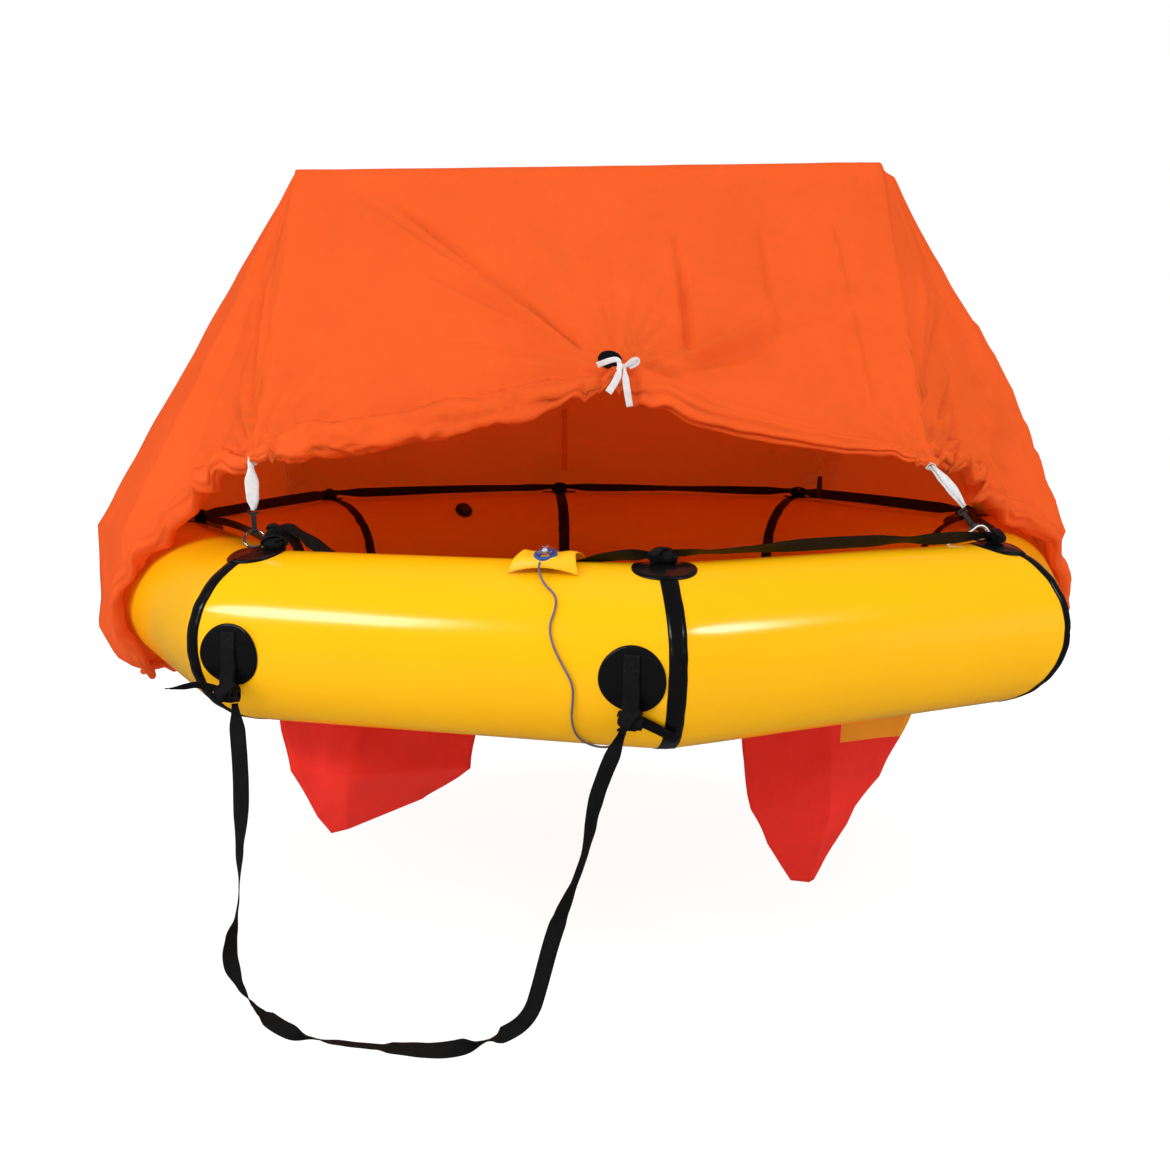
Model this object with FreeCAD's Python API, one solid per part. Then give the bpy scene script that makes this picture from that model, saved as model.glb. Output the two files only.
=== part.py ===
import FreeCAD, Part
import math
import os

V = FreeCAD.Vector

# Driving dimensions, millimetres and degrees
SIDES = 8
RING_RADIUS = 875.0          # centre of the raft to the tube's centre line at a corner
TUBE_RADIUS = 140.0
TAPE_WIDTH = 30.0
TAPE_THICK = 1.0
PATCH_RADIUS = 50.0
PATCH_THICK = 1.2
PATCH_OUT = 24.0             # patches sit this far outboard of the lifeline's knots
WEB_WIDTH = 25.0
WEB_THICK = 1.6
FLOOR_THICK = 2.0
FLOOR_HEIGHT = 9.0           # underside of the floor above the foot of the tube

ARCH_RADIUS = 42.0
ARCH_GAP = 2.5               # arch tube to canopy cloth
ARCH_FOOT = 50.0             # arch foot outside the tube's centre line
SIDE_SHIFT = 42.0            # patches beside the arch feet sit this far inboard
RIDGE_LEFT = -615.0
RIDGE_RIGHT = 605.0
RIDGE_RISE_LEFT = 714.0      # above the top of the tube
RIDGE_RISE_RIGHT = 755.0
CLOTH = 2.5                  # canopy wall
SKIRT_GAP = 15.0             # tube to skirt
EAVE_DROP = 9.0              # eave below the top of the tube
DOOR_LEFT = (222.0, -8.0, 143.0)     # angle, radius past the ring corner, height above the tube
DOOR_RIGHT = (315.1, -112.0, 130.0)
DOOR_TOP = (-20.0, -433.0, 270.0)    # x, y, height above the tube
DOOR_ROLL = 27.0             # radius of the rolled door
HEM_ROLL = 8.0               # radius of the gathered hem
DISC_LIFT = 7.1              # door disc above its panel, over the folds of the cloth

KNOT_LENGTH = 46.0
KNOT_RADIUS = 13.0
FIT_GAP = 0.3                # between pieces of different bodies

RING_BAR = 4.5
RING_OUTER = 38.0
RING_LEAN = 40.0
HOOK_LENGTH = 36.0
HOOK_WIDTH = 8.0
TIE_WIDTH = 14.0
TIE_THICK = 1.2

SIDE_PATCH_RADIUS = 50.0
SIDE_PATCH_THICK = 1.5
STRAP_DIAMETER = 12.0        # bundled section of the hanging strap

LIGHT_RADIUS = 18.0
LIGHT_BASE = 7.0
DOME_RADIUS = 12.0
WIRE_DIAMETER = 3.5
CELL_RADIUS = 13.0
CELL_LENGTH = 70.0
CELL_INBOARD = 104.0         # cell inside the tube's centre line

VALVE_FLANGE = 22.5
VALVE_BARREL = 15.0
VALVE_DEPTH = 34.0
VALVE_WALL = 3.0
CAP_RADIUS = 17.0
CAP_HEIGHT = 9.0
POPPET_RADIUS = 9.0
POPPET_TRAVEL = 4.0
SPRING_BAR = 1.2

BAG_WALL = 2.0
BAG_DEPTH_SHORT = 240.0
BAG_DEPTH_LONG = 392.0

GAS_RADIUS = 48.0
GAS_LENGTH = 320.0
HEAD_RADIUS = 16.0
HOSE_DIAMETER = 12.0

APOTHEM = RING_RADIUS * math.cos(math.pi / SIDES)
TUBE_TOP = 2 * TUBE_RADIUS
NAMES = ["front_middle", "front_right", "right", "rear_right",
         "rear_middle", "rear_left", "left", "front_left"]
parts = {}


def corner_angle(index):
    return -90.0 + index * 360.0 / SIDES


def polar(angle, radius, z=0.0):
    a = math.radians(angle)
    return V(radius * math.cos(a), radius * math.sin(a), z)


def unit(vector):
    result = V(vector)
    result.normalize()
    return result


def frame_at(origin, x_axis, z_axis):
    """Placement with its Z along z_axis and its X as near x_axis as it can be."""
    z = unit(z_axis)
    y = unit(z.cross(x_axis))
    x = y.cross(z)
    return FreeCAD.Placement(FreeCAD.Matrix(x.x, y.x, z.x, origin.x, x.y, y.y, z.y, origin.y,
                                            x.z, y.z, z.z, origin.z, 0, 0, 0, 1))


def placed(shape, placement):
    moved = shape.copy()
    moved.Placement = placement.multiply(moved.Placement)
    return moved


def side_frame(side):
    """Mid point of one straight length of the tube, its outward and its along direction."""
    middle = corner_angle(side) + 180.0 / SIDES
    return polar(middle, APOTHEM, TUBE_RADIUS), polar(middle, 1.0), polar(middle + 90.0, 1.0)


def tube_normal(side, angle):
    middle, outward, along = side_frame(side)
    a = math.radians(angle)
    return outward * math.cos(a) + V(0, 0, 1) * math.sin(a)


def on_tube(side, run, angle, lift=0.0):
    """Point on the tube: run from the middle of the side, angle up from the outside."""
    middle, outward, along = side_frame(side)
    return middle + along * run + tube_normal(side, angle) * (TUBE_RADIUS + lift)


def ring_of(radius):
    """Mitred octagonal ring with a round section."""
    corners = [polar(corner_angle(i), RING_RADIUS, TUBE_RADIUS) for i in range(SIDES)]
    lengths = []
    for i in range(SIDES):
        start, end = corners[i], corners[(i + 1) % SIDES]
        along = unit(end - start)
        long = Part.makeCylinder(radius, (end - start).Length + 4 * radius, start - along * 2 * radius, along)
        flat = [V(0, 0, -radius), polar(corner_angle(i), 3 * RING_RADIUS, -radius),
                polar(corner_angle(i + 1), 3 * RING_RADIUS, -radius), V(0, 0, -radius)]
        block = Part.Face(Part.makePolygon(flat)).extrude(V(0, 0, 4 * TUBE_RADIUS))
        lengths.append(long.common(block))
    return lengths[0].multiFuse(lengths[1:])


def mitre_block(index, half_width):
    """Slab on both sides of a mitre, square to each of the two lengths that meet there."""
    corner = polar(corner_angle(index), RING_RADIUS, TUBE_RADIUS)
    out = polar(corner_angle(index), 1.0)
    side = polar(corner_angle(index) + 90.0, 1.0)
    reach = 2 * TUBE_RADIUS
    base = corner - out * reach - side * half_width - V(0, 0, reach)
    edge = Part.makePolygon([base, base + out * 2 * reach, base + out * 2 * reach + side * 2 * half_width,
                             base + side * 2 * half_width, base])
    return Part.Face(edge).extrude(V(0, 0, 2 * reach))


def ribbon(points, thickness, width, placement):
    """Strip of cloth: its centre line is drawn in the X-Z plane and it is width wide along Y."""
    left, right = [], []
    for i, point in enumerate(points):
        before = points[max(i - 1, 0)]
        after = points[min(i + 1, len(points) - 1)]
        dx, dz = after[0] - before[0], after[1] - before[1]
        size = math.hypot(dx, dz)
        nx, nz = -dz / size * thickness / 2, dx / size * thickness / 2
        left.append(V(point[0] + nx, -width / 2, point[1] + nz))
        right.append(V(point[0] - nx, -width / 2, point[1] - nz))
    outline = left + right[::-1] + [left[0]]
    return placed(Part.Face(Part.makePolygon(outline)).extrude(V(0, width, 0)), placement)


def cord_tube(points, diameter, name):
    """Straight runs joined by arcs that touch them, as large as the shorter run allows."""
    edges, radii = [], []
    start = points[0]
    for i in range(1, len(points) - 1):
        back, ahead = points[i - 1] - points[i], points[i + 1] - points[i]
        turn = math.pi - back.getAngle(ahead)
        reach = 0.45 * min(back.Length, ahead.Length)
        radius = reach / math.tan(turn / 2)
        radii.append(radius)
        first = points[i] + unit(back) * reach
        last = points[i] + unit(ahead) * reach
        middle = points[i] + unit(unit(back) + unit(ahead)) * (radius / math.cos(turn / 2) - radius)
        edges.append(Part.LineSegment(start, first).toShape())
        edges.append(Part.Arc(first, middle, last).toShape())
        start = last
    edges.append(Part.LineSegment(start, points[-1]).toShape())
    path = Part.Wire(edges)
    circle = Part.Wire(Part.makeCircle(diameter / 2, points[0], points[1] - points[0]))
    tube = path.makePipeShell([circle], True, False)
    expected = math.pi * diameter ** 2 / 4 * path.Length
    print(name, "length", round(path.Length, 1), "radii", [round(r) for r in radii],
          "volume ratio", round(tube.Volume / expected, 4))
    return tube


def biggest(shape):
    solids = sorted(shape.Solids, key=lambda s: -s.Volume)
    return solids[0]


def revolve(profile, axis_placement):
    """Solid of revolution about Z from (radius, height) points."""
    outline = [V(r, 0, z) for r, z in profile]
    solid = Part.Face(Part.makePolygon(outline + [outline[0]])).revolve(V(0, 0, 0), V(0, 0, 1), 360)
    return placed(solid, axis_placement)


def build_tube():
    """Eight cloth cylinders mitred into a ring, with the socket of the topping-up valve."""
    ring = ring_of(TUBE_RADIUS)
    socket = Part.makeCylinder(VALVE_BARREL, VALVE_DEPTH + 20)
    place = valve_frame()
    down = placed(socket, place.multiply(FreeCAD.Placement(V(0, 0, -VALVE_DEPTH), FreeCAD.Rotation())))
    parts["buoyancy_tube"] = ring.cut(down)
    return ring


def build_tapes(ring):
    outer = ring_of(TUBE_RADIUS + TAPE_THICK)
    shell = outer.cut(ring)
    for i in range(SIDES):
        parts["seam_tape_" + NAMES[i]] = biggest(shell.common(mitre_block(i, TAPE_WIDTH / 2)))


def bridge(width, span, height, placement):
    """Sewn strap with feet and a raised middle that another strap passes under."""
    foot = span / 2 + 9.0
    points = [(-foot, -1.2), (-span / 2 - 1, -0.2), (-span / 2 + 3, height), (span / 2 - 3, height),
              (span / 2 + 1, -0.2), (foot, -1.2)]
    return ribbon(points, WEB_THICK, width, placement)


def patch_shift(index):
    """Distance of a patch inboard of the top of the tube: only those beside the arch feet move."""
    return SIDE_SHIFT if index in (2, 6) else 0.0


def patch_centre(index):
    """Distance from the middle of the raft to the middle of a patch."""
    return RING_RADIUS - patch_shift(index) + (0.0 if index in (2, 6) else PATCH_OUT)


def patch_seat(index):
    """Point of a patch's upper face where its webbing is sewn."""
    shift = patch_shift(index)
    skin = TUBE_RADIUS + TAPE_THICK + PATCH_THICK
    height = TUBE_RADIUS + math.sqrt(skin ** 2 - (shift * math.cos(math.pi / SIDES)) ** 2)
    return polar(corner_angle(index), RING_RADIUS - shift, height)


def patch_normal(index):
    shift = patch_shift(index)
    lean = shift * math.cos(math.pi / SIDES) ** 2
    return unit(polar(corner_angle(index), -lean, patch_seat(index).z - TUBE_RADIUS))


def knot_place(index):
    """Where the lifeline's knot sits: on the patch, or beside the ring on the two door patches."""
    shift = {1: 12.0, 7: 16.0}.get(index, 0.0)
    return patch_seat(index) + V(shift, -shift * 0.4, 0)


def knot_axis(index):
    return polar(corner_angle(index) + 90.0, 1.0)


def build_patches(ring):
    skin = ring_of(TUBE_RADIUS + TAPE_THICK + PATCH_THICK).cut(ring)
    for i in range(SIDES):
        centre = polar(corner_angle(i), patch_centre(i), TUBE_RADIUS)
        disc = Part.makeCylinder(PATCH_RADIUS, 2 * TUBE_RADIUS, centre)
        patch = biggest(skin.common(disc).cut(parts["seam_tape_" + NAMES[i]]))
        parts["lifeline_patch_" + NAMES[i]] = patch


def build_anchors():
    """Webbing bridges on the patches and, at the door, the small loops for the rings."""
    for i in range(SIDES):
        name = "lifeline_patch_" + NAMES[i]
        place = frame_at(knot_place(i), polar(corner_angle(i), 1.0), patch_normal(i))
        strap = bridge(12.0, WEB_WIDTH + 3, 5.0, place).cut(parts["seam_tape_" + NAMES[i]])
        strap = biggest(strap.cut(parts["buoyancy_tube"]))
        parts[name] = parts[name].fuse(strap)
        if i in (1, 7):
            loop = ring_loop(i)
            loop = biggest(loop.cut(parts["seam_tape_" + NAMES[i]]).cut(parts["buoyancy_tube"]))
            parts[name] = parts[name].fuse(loop)


def ring_foot(index):
    """Lowest point of the ring's centre line."""
    shift = {1: -12.0, 7: -18.0}[index]
    return patch_seat(index) + V(shift, 0, RING_BAR / 2 + 0.8)


def ring_loop(index):
    """Strap bent over the bar of the ring, with two feet sewn to the patch."""
    bore = RING_BAR / 2 + 1.6 + TIE_THICK / 2
    points = [(-bore - 12, -RING_BAR / 2 - 2.4), (-bore - 1, -RING_BAR / 2 - 1.0)]
    for step in range(7):
        a = math.pi - step * math.pi / 6
        points.append((bore * math.cos(a), bore * math.sin(a)))
    points += [(bore + 1, -RING_BAR / 2 - 1.0), (bore + 12, -RING_BAR / 2 - 2.4)]
    return ribbon(points, TIE_THICK, 8.0, frame_at(ring_foot(index), V(0, -1, 0), V(0, 0, 1)))


def ring_up():
    a = math.radians(RING_LEAN)
    return V(0, math.sin(a), math.cos(a))


def ring_mean():
    return (RING_OUTER - RING_BAR) / 2


def ring_centre(index):
    return ring_foot(index) + ring_up() * ring_mean()


def ring_torus(index, bar_radius):
    normal = V(1, 0, 0).cross(ring_up())
    return Part.makeTorus(ring_mean(), bar_radius, ring_centre(index), normal)


def build_ring(index, side):
    parts["ring_" + side] = ring_torus(index, RING_BAR / 2)


def hook_frame(index, corner):
    """Frame at the bar of the ring on the side that the tie pulls, Z towards the canopy corner."""
    normal = V(1, 0, 0).cross(ring_up())
    pull = corner - ring_centre(index)
    inside = unit(pull - normal * pull.dot(normal))
    bar = ring_centre(index) + inside * ring_mean()
    tangent = normal.cross(inside)
    return frame_at(bar, tangent, unit(corner - bar))


def build_hook(index, side, corner):
    """Moulded hook: round bow over the ring, shank, and a slot for the tape."""
    place = hook_frame(index, corner)
    bore = RING_BAR / 2 + 0.6
    bow = Part.makeCylinder(bore + 2.6, HOOK_WIDTH, V(-HOOK_WIDTH / 2, 0, 0), V(1, 0, 0))
    shank = Part.makeBox(HOOK_WIDTH, 4.0, HOOK_LENGTH - 8.0, V(-HOOK_WIDTH / 2, -2.0, bore))
    head = Part.makeBox(18.0, 4.0, 9.0, V(-9.0, -2.0, HOOK_LENGTH - 9.0))
    slot = Part.makeBox(15.0, 6.0, 3.0, V(-7.5, -3.0, HOOK_LENGTH - 5.5))
    body = bow.fuse([shank, head]).cut(slot)
    body = body.cut(Part.makeCylinder(bore, 2 * HOOK_WIDTH, V(-HOOK_WIDTH, 0, 0), V(1, 0, 0)))
    mouth = Part.makeBox(2 * HOOK_WIDTH, 3.2, 6.0, V(-HOOK_WIDTH, 1.6, -6.5))
    parts["hook_" + side] = placed(biggest(body.cut(mouth)), place)


def build_tie(index, side, corner, canopy):
    """White tape folded through the hook's slot and sewn to the canopy corner."""
    place = hook_frame(index, corner)
    top = (corner - place.Base).Length + 4.0
    bar = HOOK_LENGTH - 1.25
    low = HOOK_LENGTH - 4.0
    bow = TIE_THICK / 2 + FIT_GAP + 2.0
    points = [(0.6, top), (0.6, bar + 8), (bow, bar + 3), (bow, low), (0.0, low - 0.2), (-bow, low),
              (-bow, bar + 3), (-0.8, bar + 6.0), (-0.8, bar + 16.0)]
    turned = place.multiply(FreeCAD.Placement(V(0, 0, 0), FreeCAD.Rotation(V(0, 0, 1), 90)))
    tape = ribbon(points, TIE_THICK, TIE_WIDTH, turned)
    parts["tie_tape_" + side] = biggest(tape.cut(canopy).cut(parts["hook_" + side]))


def build_knot(index):
    """One lifeline knot: a barrel of wraps over the bridge of its patch."""
    normal = patch_normal(index)
    place = frame_at(knot_place(index) + normal * 8.0, normal, knot_axis(index))
    half = KNOT_LENGTH / 2
    profile = [(0, -half), (7, -half), (KNOT_RADIUS - 1, -half + 8), (KNOT_RADIUS, -6), (KNOT_RADIUS - 2, 0),
               (KNOT_RADIUS, 6), (KNOT_RADIUS - 1, half - 8), (7, half), (0, half)]
    barrel = revolve(profile, place)
    centre = knot_place(index)
    seat = frame_at(centre, polar(corner_angle(index), 1.0), normal)
    reach = PATCH_RADIUS + 10.0
    floor = placed(Part.makeBox(2 * reach, 2 * reach, reach, V(-reach, -reach, -reach + 0.2)), seat)
    room = placed(Part.makeBox(60, 12.6, 20, V(-30, -6.3, -13.0)), seat)
    return biggest(barrel.cut(floor).cut(room))


def web_span(start, end, sag, tips, name):
    """Webbing between two knots, turning on edge in the middle, as ruled lengths."""
    along = unit(end - start)
    across = unit(V(0, 0, 1).cross(along))
    wires = []
    for i, (fraction, tip) in enumerate(tips):
        centre = start + (end - start) * fraction - V(0, 0, sag * 4 * fraction * (1 - fraction))
        a = math.radians(tip)
        wide = across * math.cos(a) + V(0, 0, 1) * math.sin(a)
        thin = along.cross(wide)
        corners = []
        for u, v in ((1, 1), (-1, 1), (-1, -1), (1, -1)):
            corners.append(centre + wide * (u * WEB_WIDTH / 2) + thin * (v * WEB_THICK / 2))
        wires.append(Part.makePolygon(corners + [corners[0]]))
    return Part.makeLoft(wires, True, True)


def build_lifeline():
    """Webbing from the front middle patch round the stern to the front left patch."""
    lean = ((0.0, 60.0), (0.2, 35.0), (0.5, 20.0), (0.8, 35.0), (1.0, 60.0))
    pieces = [build_knot(i) for i in range(SIDES)]
    lift = V(0, 0, 17.0)
    for i in range(SIDES - 1):
        start = knot_place(i) + lift
        end = knot_place(i + 1) + lift
        reach = unit(end - start) * (KNOT_LENGTH / 2 - 6)
        pieces.append(web_span(start + reach, end - reach, -1.0, lean, NAMES[i]))
    solid = pieces[0].multiFuse(pieces[1:])
    for i in range(SIDES):
        solid = solid.cut(parts["lifeline_patch_" + NAMES[i]])
    for index in (1, 7):
        solid = solid.cut(ring_torus(index, RING_BAR / 2 + FIT_GAP))
    parts["lifeline"] = biggest(solid)


def build_floor():
    """Cloth floor glued round the inner foot of the tube."""
    corners = [polar(corner_angle(i), RING_RADIUS, FLOOR_HEIGHT) for i in range(SIDES)]
    sheet = Part.Face(Part.makePolygon(corners + [corners[0]])).extrude(V(0, 0, FLOOR_THICK))
    sheet = biggest(sheet.cut(parts["buoyancy_tube"]))
    for name in NAMES:
        sheet = sheet.cut(parts["seam_tape_" + name])
    parts["floor"] = biggest(sheet)


def ridge_height(x):
    share = (x - RIDGE_LEFT) / (RIDGE_RIGHT - RIDGE_LEFT)
    return TUBE_TOP + RIDGE_RISE_LEFT + share * (RIDGE_RISE_RIGHT - RIDGE_RISE_LEFT)


def skirt_point(angle, out, z):
    """Point at a distance out from the tube's centre line, measured square to its side."""
    turn = (angle - corner_angle(0)) % (360.0 / SIDES) - 180.0 / SIDES
    return polar(angle, (APOTHEM + out) / math.cos(math.radians(turn)), z)


def eave(angle):
    return skirt_point(angle, TUBE_RADIUS + SKIRT_GAP, TUBE_TOP - EAVE_DROP)


def arch_axis():
    """Four points of the arch tube's centre line: foot, elbow, elbow, foot."""
    inset = ARCH_RADIUS + ARCH_GAP + CLOTH
    foot_out = RING_RADIUS + ARCH_FOOT
    foot_z = TUBE_TOP - ARCH_RADIUS
    points = []
    for x, sign in ((RIDGE_LEFT, -1), (RIDGE_RIGHT, 1)):
        lean = math.atan2(foot_out - abs(x), ridge_height(x) - foot_z)
        inboard = inset * math.tan((math.pi / 2 - lean) / 2)
        elbow = V(x - sign * inboard, 0, ridge_height(x) - inset)
        points.append([V(sign * foot_out, 0, foot_z), elbow])
    return [points[0][0], points[0][1], points[1][1], points[1][0]]


def build_arch():
    axis = arch_axis()
    path = Part.Wire(Part.makePolygon(axis).Edges)
    circle = Part.Wire(Part.makeCircle(ARCH_RADIUS, axis[0], axis[1] - axis[0]))
    arch = path.makePipeShell([circle], True, False, 1)
    arch = biggest(arch.cut(ring_of(TUBE_RADIUS)))
    for name in ("left", "right"):
        arch = arch.cut(parts["seam_tape_" + name]).cut(parts["lifeline_patch_" + name])
    parts["arch_tube"] = biggest(arch)


DOOR_COLUMNS = 24            # columns of cloth across the door and across the back
FREE_COLUMNS = 7             # columns along the free edge beside the door
CORNER_COLUMN = 9            # column that falls on the corner of the ring
FAN_COLUMNS = 15             # columns round each end
CLOTH_ROWS = 13
SKIRT_ROWS = 5
ARC_ROWS = 3                 # rows over the arch tube
ARC_STEP = 16.0
ROLL_ROWS = 7


def door_corner(door):
    angle, radius, height = door
    return polar(angle, RING_RADIUS + radius, TUBE_TOP + height)


def door_edge(share):
    """Lower edge of the drawn-up door, share 0 at the left corner and 1 at the right."""
    x_top, y_top, rise = DOOR_TOP
    top = V(x_top, y_top, TUBE_TOP + rise)
    left, right = door_corner(DOOR_LEFT), door_corner(DOOR_RIGHT)
    x = left.x + share * (right.x - left.x)
    if x < top.x:
        f = (x - left.x) / (top.x - left.x)
        lift = f * f
        corner = left
    else:
        f = (right.x - x) / (right.x - top.x)
        lift = 0.6 * f + 0.4 * f ** 8
        corner = right
    return V(x, corner.y + (top.y - corner.y) * lift, corner.z + (top.z - corner.z) * lift)


def door_roll(share):
    """Radius of the rolled door, thick in the middle of each half and drawn in at the tie."""
    half = share / 0.5 if share < 0.5 else (1 - share) / 0.5
    return HEM_ROLL + (DOOR_ROLL - HEM_ROLL) * math.sin(math.pi * min(half, 1.0) ** 0.8) ** 0.7


def free_edge(share, door, end_angle):
    """Edge of the canopy from a door corner, over the tube and under it; share 0 to 1."""
    start = door_corner(door)
    angle = door[0] + share * (end_angle - door[0])
    stations = ((0.0, None, start.z), (0.35, -0.25, TUBE_TOP + 68), (0.6, 0.25, TUBE_TOP + 14),
                (0.8, 1.1, TUBE_RADIUS + 30), (0.9, 1.15, 60.0), (1.0, 0.66, -8.0))
    flat = math.hypot(start.x, start.y)
    for (a, out_a, z_a), (b, out_b, z_b) in zip(stations, stations[1:]):
        if a <= share <= b:
            f = (share - a) / (b - a)
            base = skirt_point(angle, 0.0, 0.0)
            radius = math.hypot(base.x, base.y)
            first = flat - radius if out_a is None else out_a * TUBE_RADIUS
            second = out_b * TUBE_RADIUS
            return polar(angle, radius + first + f * (second - first), z_a + f * (z_b - z_a))
    return start


def skirt(angle):
    """Full side of the canopy below its straight panel, from the eave to the tucked hem."""
    full = TUBE_RADIUS + SKIRT_GAP
    shape = ((full, TUBE_TOP - EAVE_DROP), (full, TUBE_RADIUS - 19), (full + 6, 60.0), (full - 21, -5.0),
             (full - 41, -29.0), (full - 95, -38.0))
    return [skirt_point(angle, out, z) for out, z in shape]


def even(points, count):
    """Count + 1 points at even distances along a line of points."""
    lengths = [0.0]
    for first, second in zip(points, points[1:]):
        lengths.append(lengths[-1] + (second - first).Length)
    result, i = [], 0
    for step in range(count + 1):
        goal = lengths[-1] * step / count
        while i < len(points) - 2 and lengths[i + 1] < goal:
            i += 1
        span = max(lengths[i + 1] - lengths[i], 1e-9)
        result.append(points[i] + (points[i + 1] - points[i]) * ((goal - lengths[i]) / span))
    return result


def ridge_arc(x, target):
    """Cloth over the arch tube, from the top of the ridge to where the panel to target leaves it."""
    radius = ARCH_RADIUS + ARCH_GAP + CLOTH
    top = ridge_height(x)
    forward = -1 if target.y < 0 else 1
    turn = math.pi / 4
    for _ in range(6):
        away = abs(target.y) - radius * math.sin(turn)
        turn = math.atan2(top - radius * (1 - math.cos(turn)) - target.z, away)
    return [V(x, forward * radius * math.sin(turn * k / ARC_ROWS),
              top - radius * (1 - math.cos(turn * k / ARC_ROWS))) for k in range(ARC_ROWS + 1)]


def canopy_columns():
    """Lines of cloth from the ridge to the hem, once round the raft, with each hem's roll radius."""
    columns = []
    left, right = V(RIDGE_LEFT, 0, ridge_height(RIDGE_LEFT)), V(RIDGE_RIGHT, 0, ridge_height(RIDGE_RIGHT))
    for j in range(DOOR_COLUMNS + 1):
        share = j / DOOR_COLUMNS
        x = RIDGE_LEFT + share * (RIDGE_RIGHT - RIDGE_LEFT)
        roll = door_roll(share)
        edge = door_edge(share)
        arc = ridge_arc(x, edge)
        down = unit(edge - arc[-1])
        sheet = even([arc[-1], edge - down * roll], CLOTH_ROWS - ARC_ROWS)
        columns.append((arc[:-1] + sheet, roll))
    for k in range(1, FAN_COLUMNS):
        columns.append(fan_column(right, DOOR_RIGHT, k, (348.0, 360.0, 405.0)))
    for j in range(DOOR_COLUMNS, -1, -1):
        share = j / DOOR_COLUMNS
        x = RIDGE_LEFT + share * (RIDGE_RIGHT - RIDGE_LEFT)
        angle = 135.0 - 90.0 * share
        lower = skirt(angle)
        arc = ridge_arc(x, lower[0])
        panel = even([arc[-1], lower[0]], CLOTH_ROWS - ARC_ROWS - SKIRT_ROWS)
        columns.append((arc[:-1] + panel + lower[1:], HEM_ROLL))
    for k in range(FAN_COLUMNS - 1, 0, -1):
        columns.append(fan_column(left, DOOR_LEFT, k, (190.0, 180.0, 135.0)))
    return columns


def from_apex(apex, end):
    """Rows from the end of the ridge to the eave, close together where they pass over the arch."""
    step = unit(end - apex) * ARC_STEP
    near = [apex + step * k for k in range(ARC_ROWS)]
    return near + even([apex + step * ARC_ROWS, end], CLOTH_ROWS - ARC_ROWS - SKIRT_ROWS)


def fan_column(apex, door, k, ends):
    """Column k at one end of the ridge: the free edge beside the door, then the full skirt."""
    free_end, corner, back = ends
    if k <= FREE_COLUMNS:
        drop = k / FREE_COLUMNS
        edge = free_edge(drop, door, free_end)
        lower = skirt(door[0] + drop * (free_end - door[0]))
        level = min((apex.z - lower[0].z) / (apex.z - edge.z), 0.85)
        straight = apex + (edge - apex) * level
        shoulder = straight + (lower[0] - straight) * min(max(drop - 0.6, 0.0) / 0.2, 1.0)
        below = [shoulder] + [p for p in lower[1:3] if p.z > edge.z + 20.0] + [edge]
        return from_apex(apex, shoulder) + even(below, SKIRT_ROWS)[1:], HEM_ROLL
    if k <= CORNER_COLUMN:
        angle = free_end + (corner - free_end) * (k - FREE_COLUMNS) / (CORNER_COLUMN - FREE_COLUMNS)
    else:
        angle = corner + (back - corner) * (k - CORNER_COLUMN) / (FAN_COLUMNS - CORNER_COLUMN)
    lower = skirt(angle)
    return from_apex(apex, lower[0]) + lower[1:], HEM_ROLL


def pushed_off(point, line, keep):
    """Point moved out, where it is nearer than keep to a line of points."""
    for start, end in zip(line, line[1:]):
        along = end - start
        t = min(max((point - start).dot(along) / along.dot(along), 0.0), 1.0)
        away = point - (start + along * t)
        if away.Length < keep:
            point = point + unit(away) * (keep - away.Length)
    return point


def gathered(point, index, row):
    """Folds: a fan from the door's tie, and gathers that grow towards the skirt's hem."""
    if index <= DOOR_COLUMNS:
        tie = V(DOOR_TOP[0], DOOR_TOP[1], TUBE_TOP + DOOR_TOP[2])
        away = point - tie
        fan = math.sin(9.0 * math.atan2(away.z, away.x) + 0.6)
        fade = math.exp(-away.Length / 260.0) * min(away.Length / 60.0, 1.0)
        edge = min(index, DOOR_COLUMNS - index) / 3.0
        return point + V(0, -0.7, 0.7) * (9.0 * fan * fade * min(edge, 1.0))
    if row < CLOTH_ROWS - 4:
        return point
    out = unit(V(point.x, point.y, 0))
    wave = math.sin(index * math.pi / 2) * (row - CLOTH_ROWS + 4)
    return point + out * (1.6 * wave)


def rolled(column, radius, outward):
    """Column of sheet with the rows of its rolled hem added."""
    last, before = column[-1], column[-2]
    down = unit(last - before)
    out = unit(outward - down * outward.dot(down))
    centre = last + out * radius
    rows = []
    for k in range(1, ROLL_ROWS + 1):
        a = math.radians(290.0 * k / ROLL_ROWS)
        rows.append(centre - out * (radius * math.cos(a)) + down * (radius * math.sin(a)))
    return column + rows


def canopy_grid():
    arch = arch_axis()
    ring = [polar(corner_angle(i), RING_RADIUS, TUBE_RADIUS) for i in range(SIDES + 1)]
    grid = []
    for index, (column, radius) in enumerate(canopy_columns()):
        lifted = [column[0]]
        for row, p in enumerate(column[1:], 1):
            p = pushed_off(gathered(p, index, row), arch, ARCH_RADIUS + ARCH_GAP + CLOTH)
            lifted.append(pushed_off(p, ring, TUBE_RADIUS + SKIRT_GAP + 5.0))
        last, before = lifted[-1], lifted[-2]
        side = unit(V(last.x, last.y, 0))
        down = unit(last - before)
        outward = V(0, -1, 0.9) if index <= DOOR_COLUMNS else (side + V(0, 0, 0.5) if down.z < -0.5 else V(0, 0, -1))
        grid.append(rolled(lifted, radius, outward))
    return grid


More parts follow.
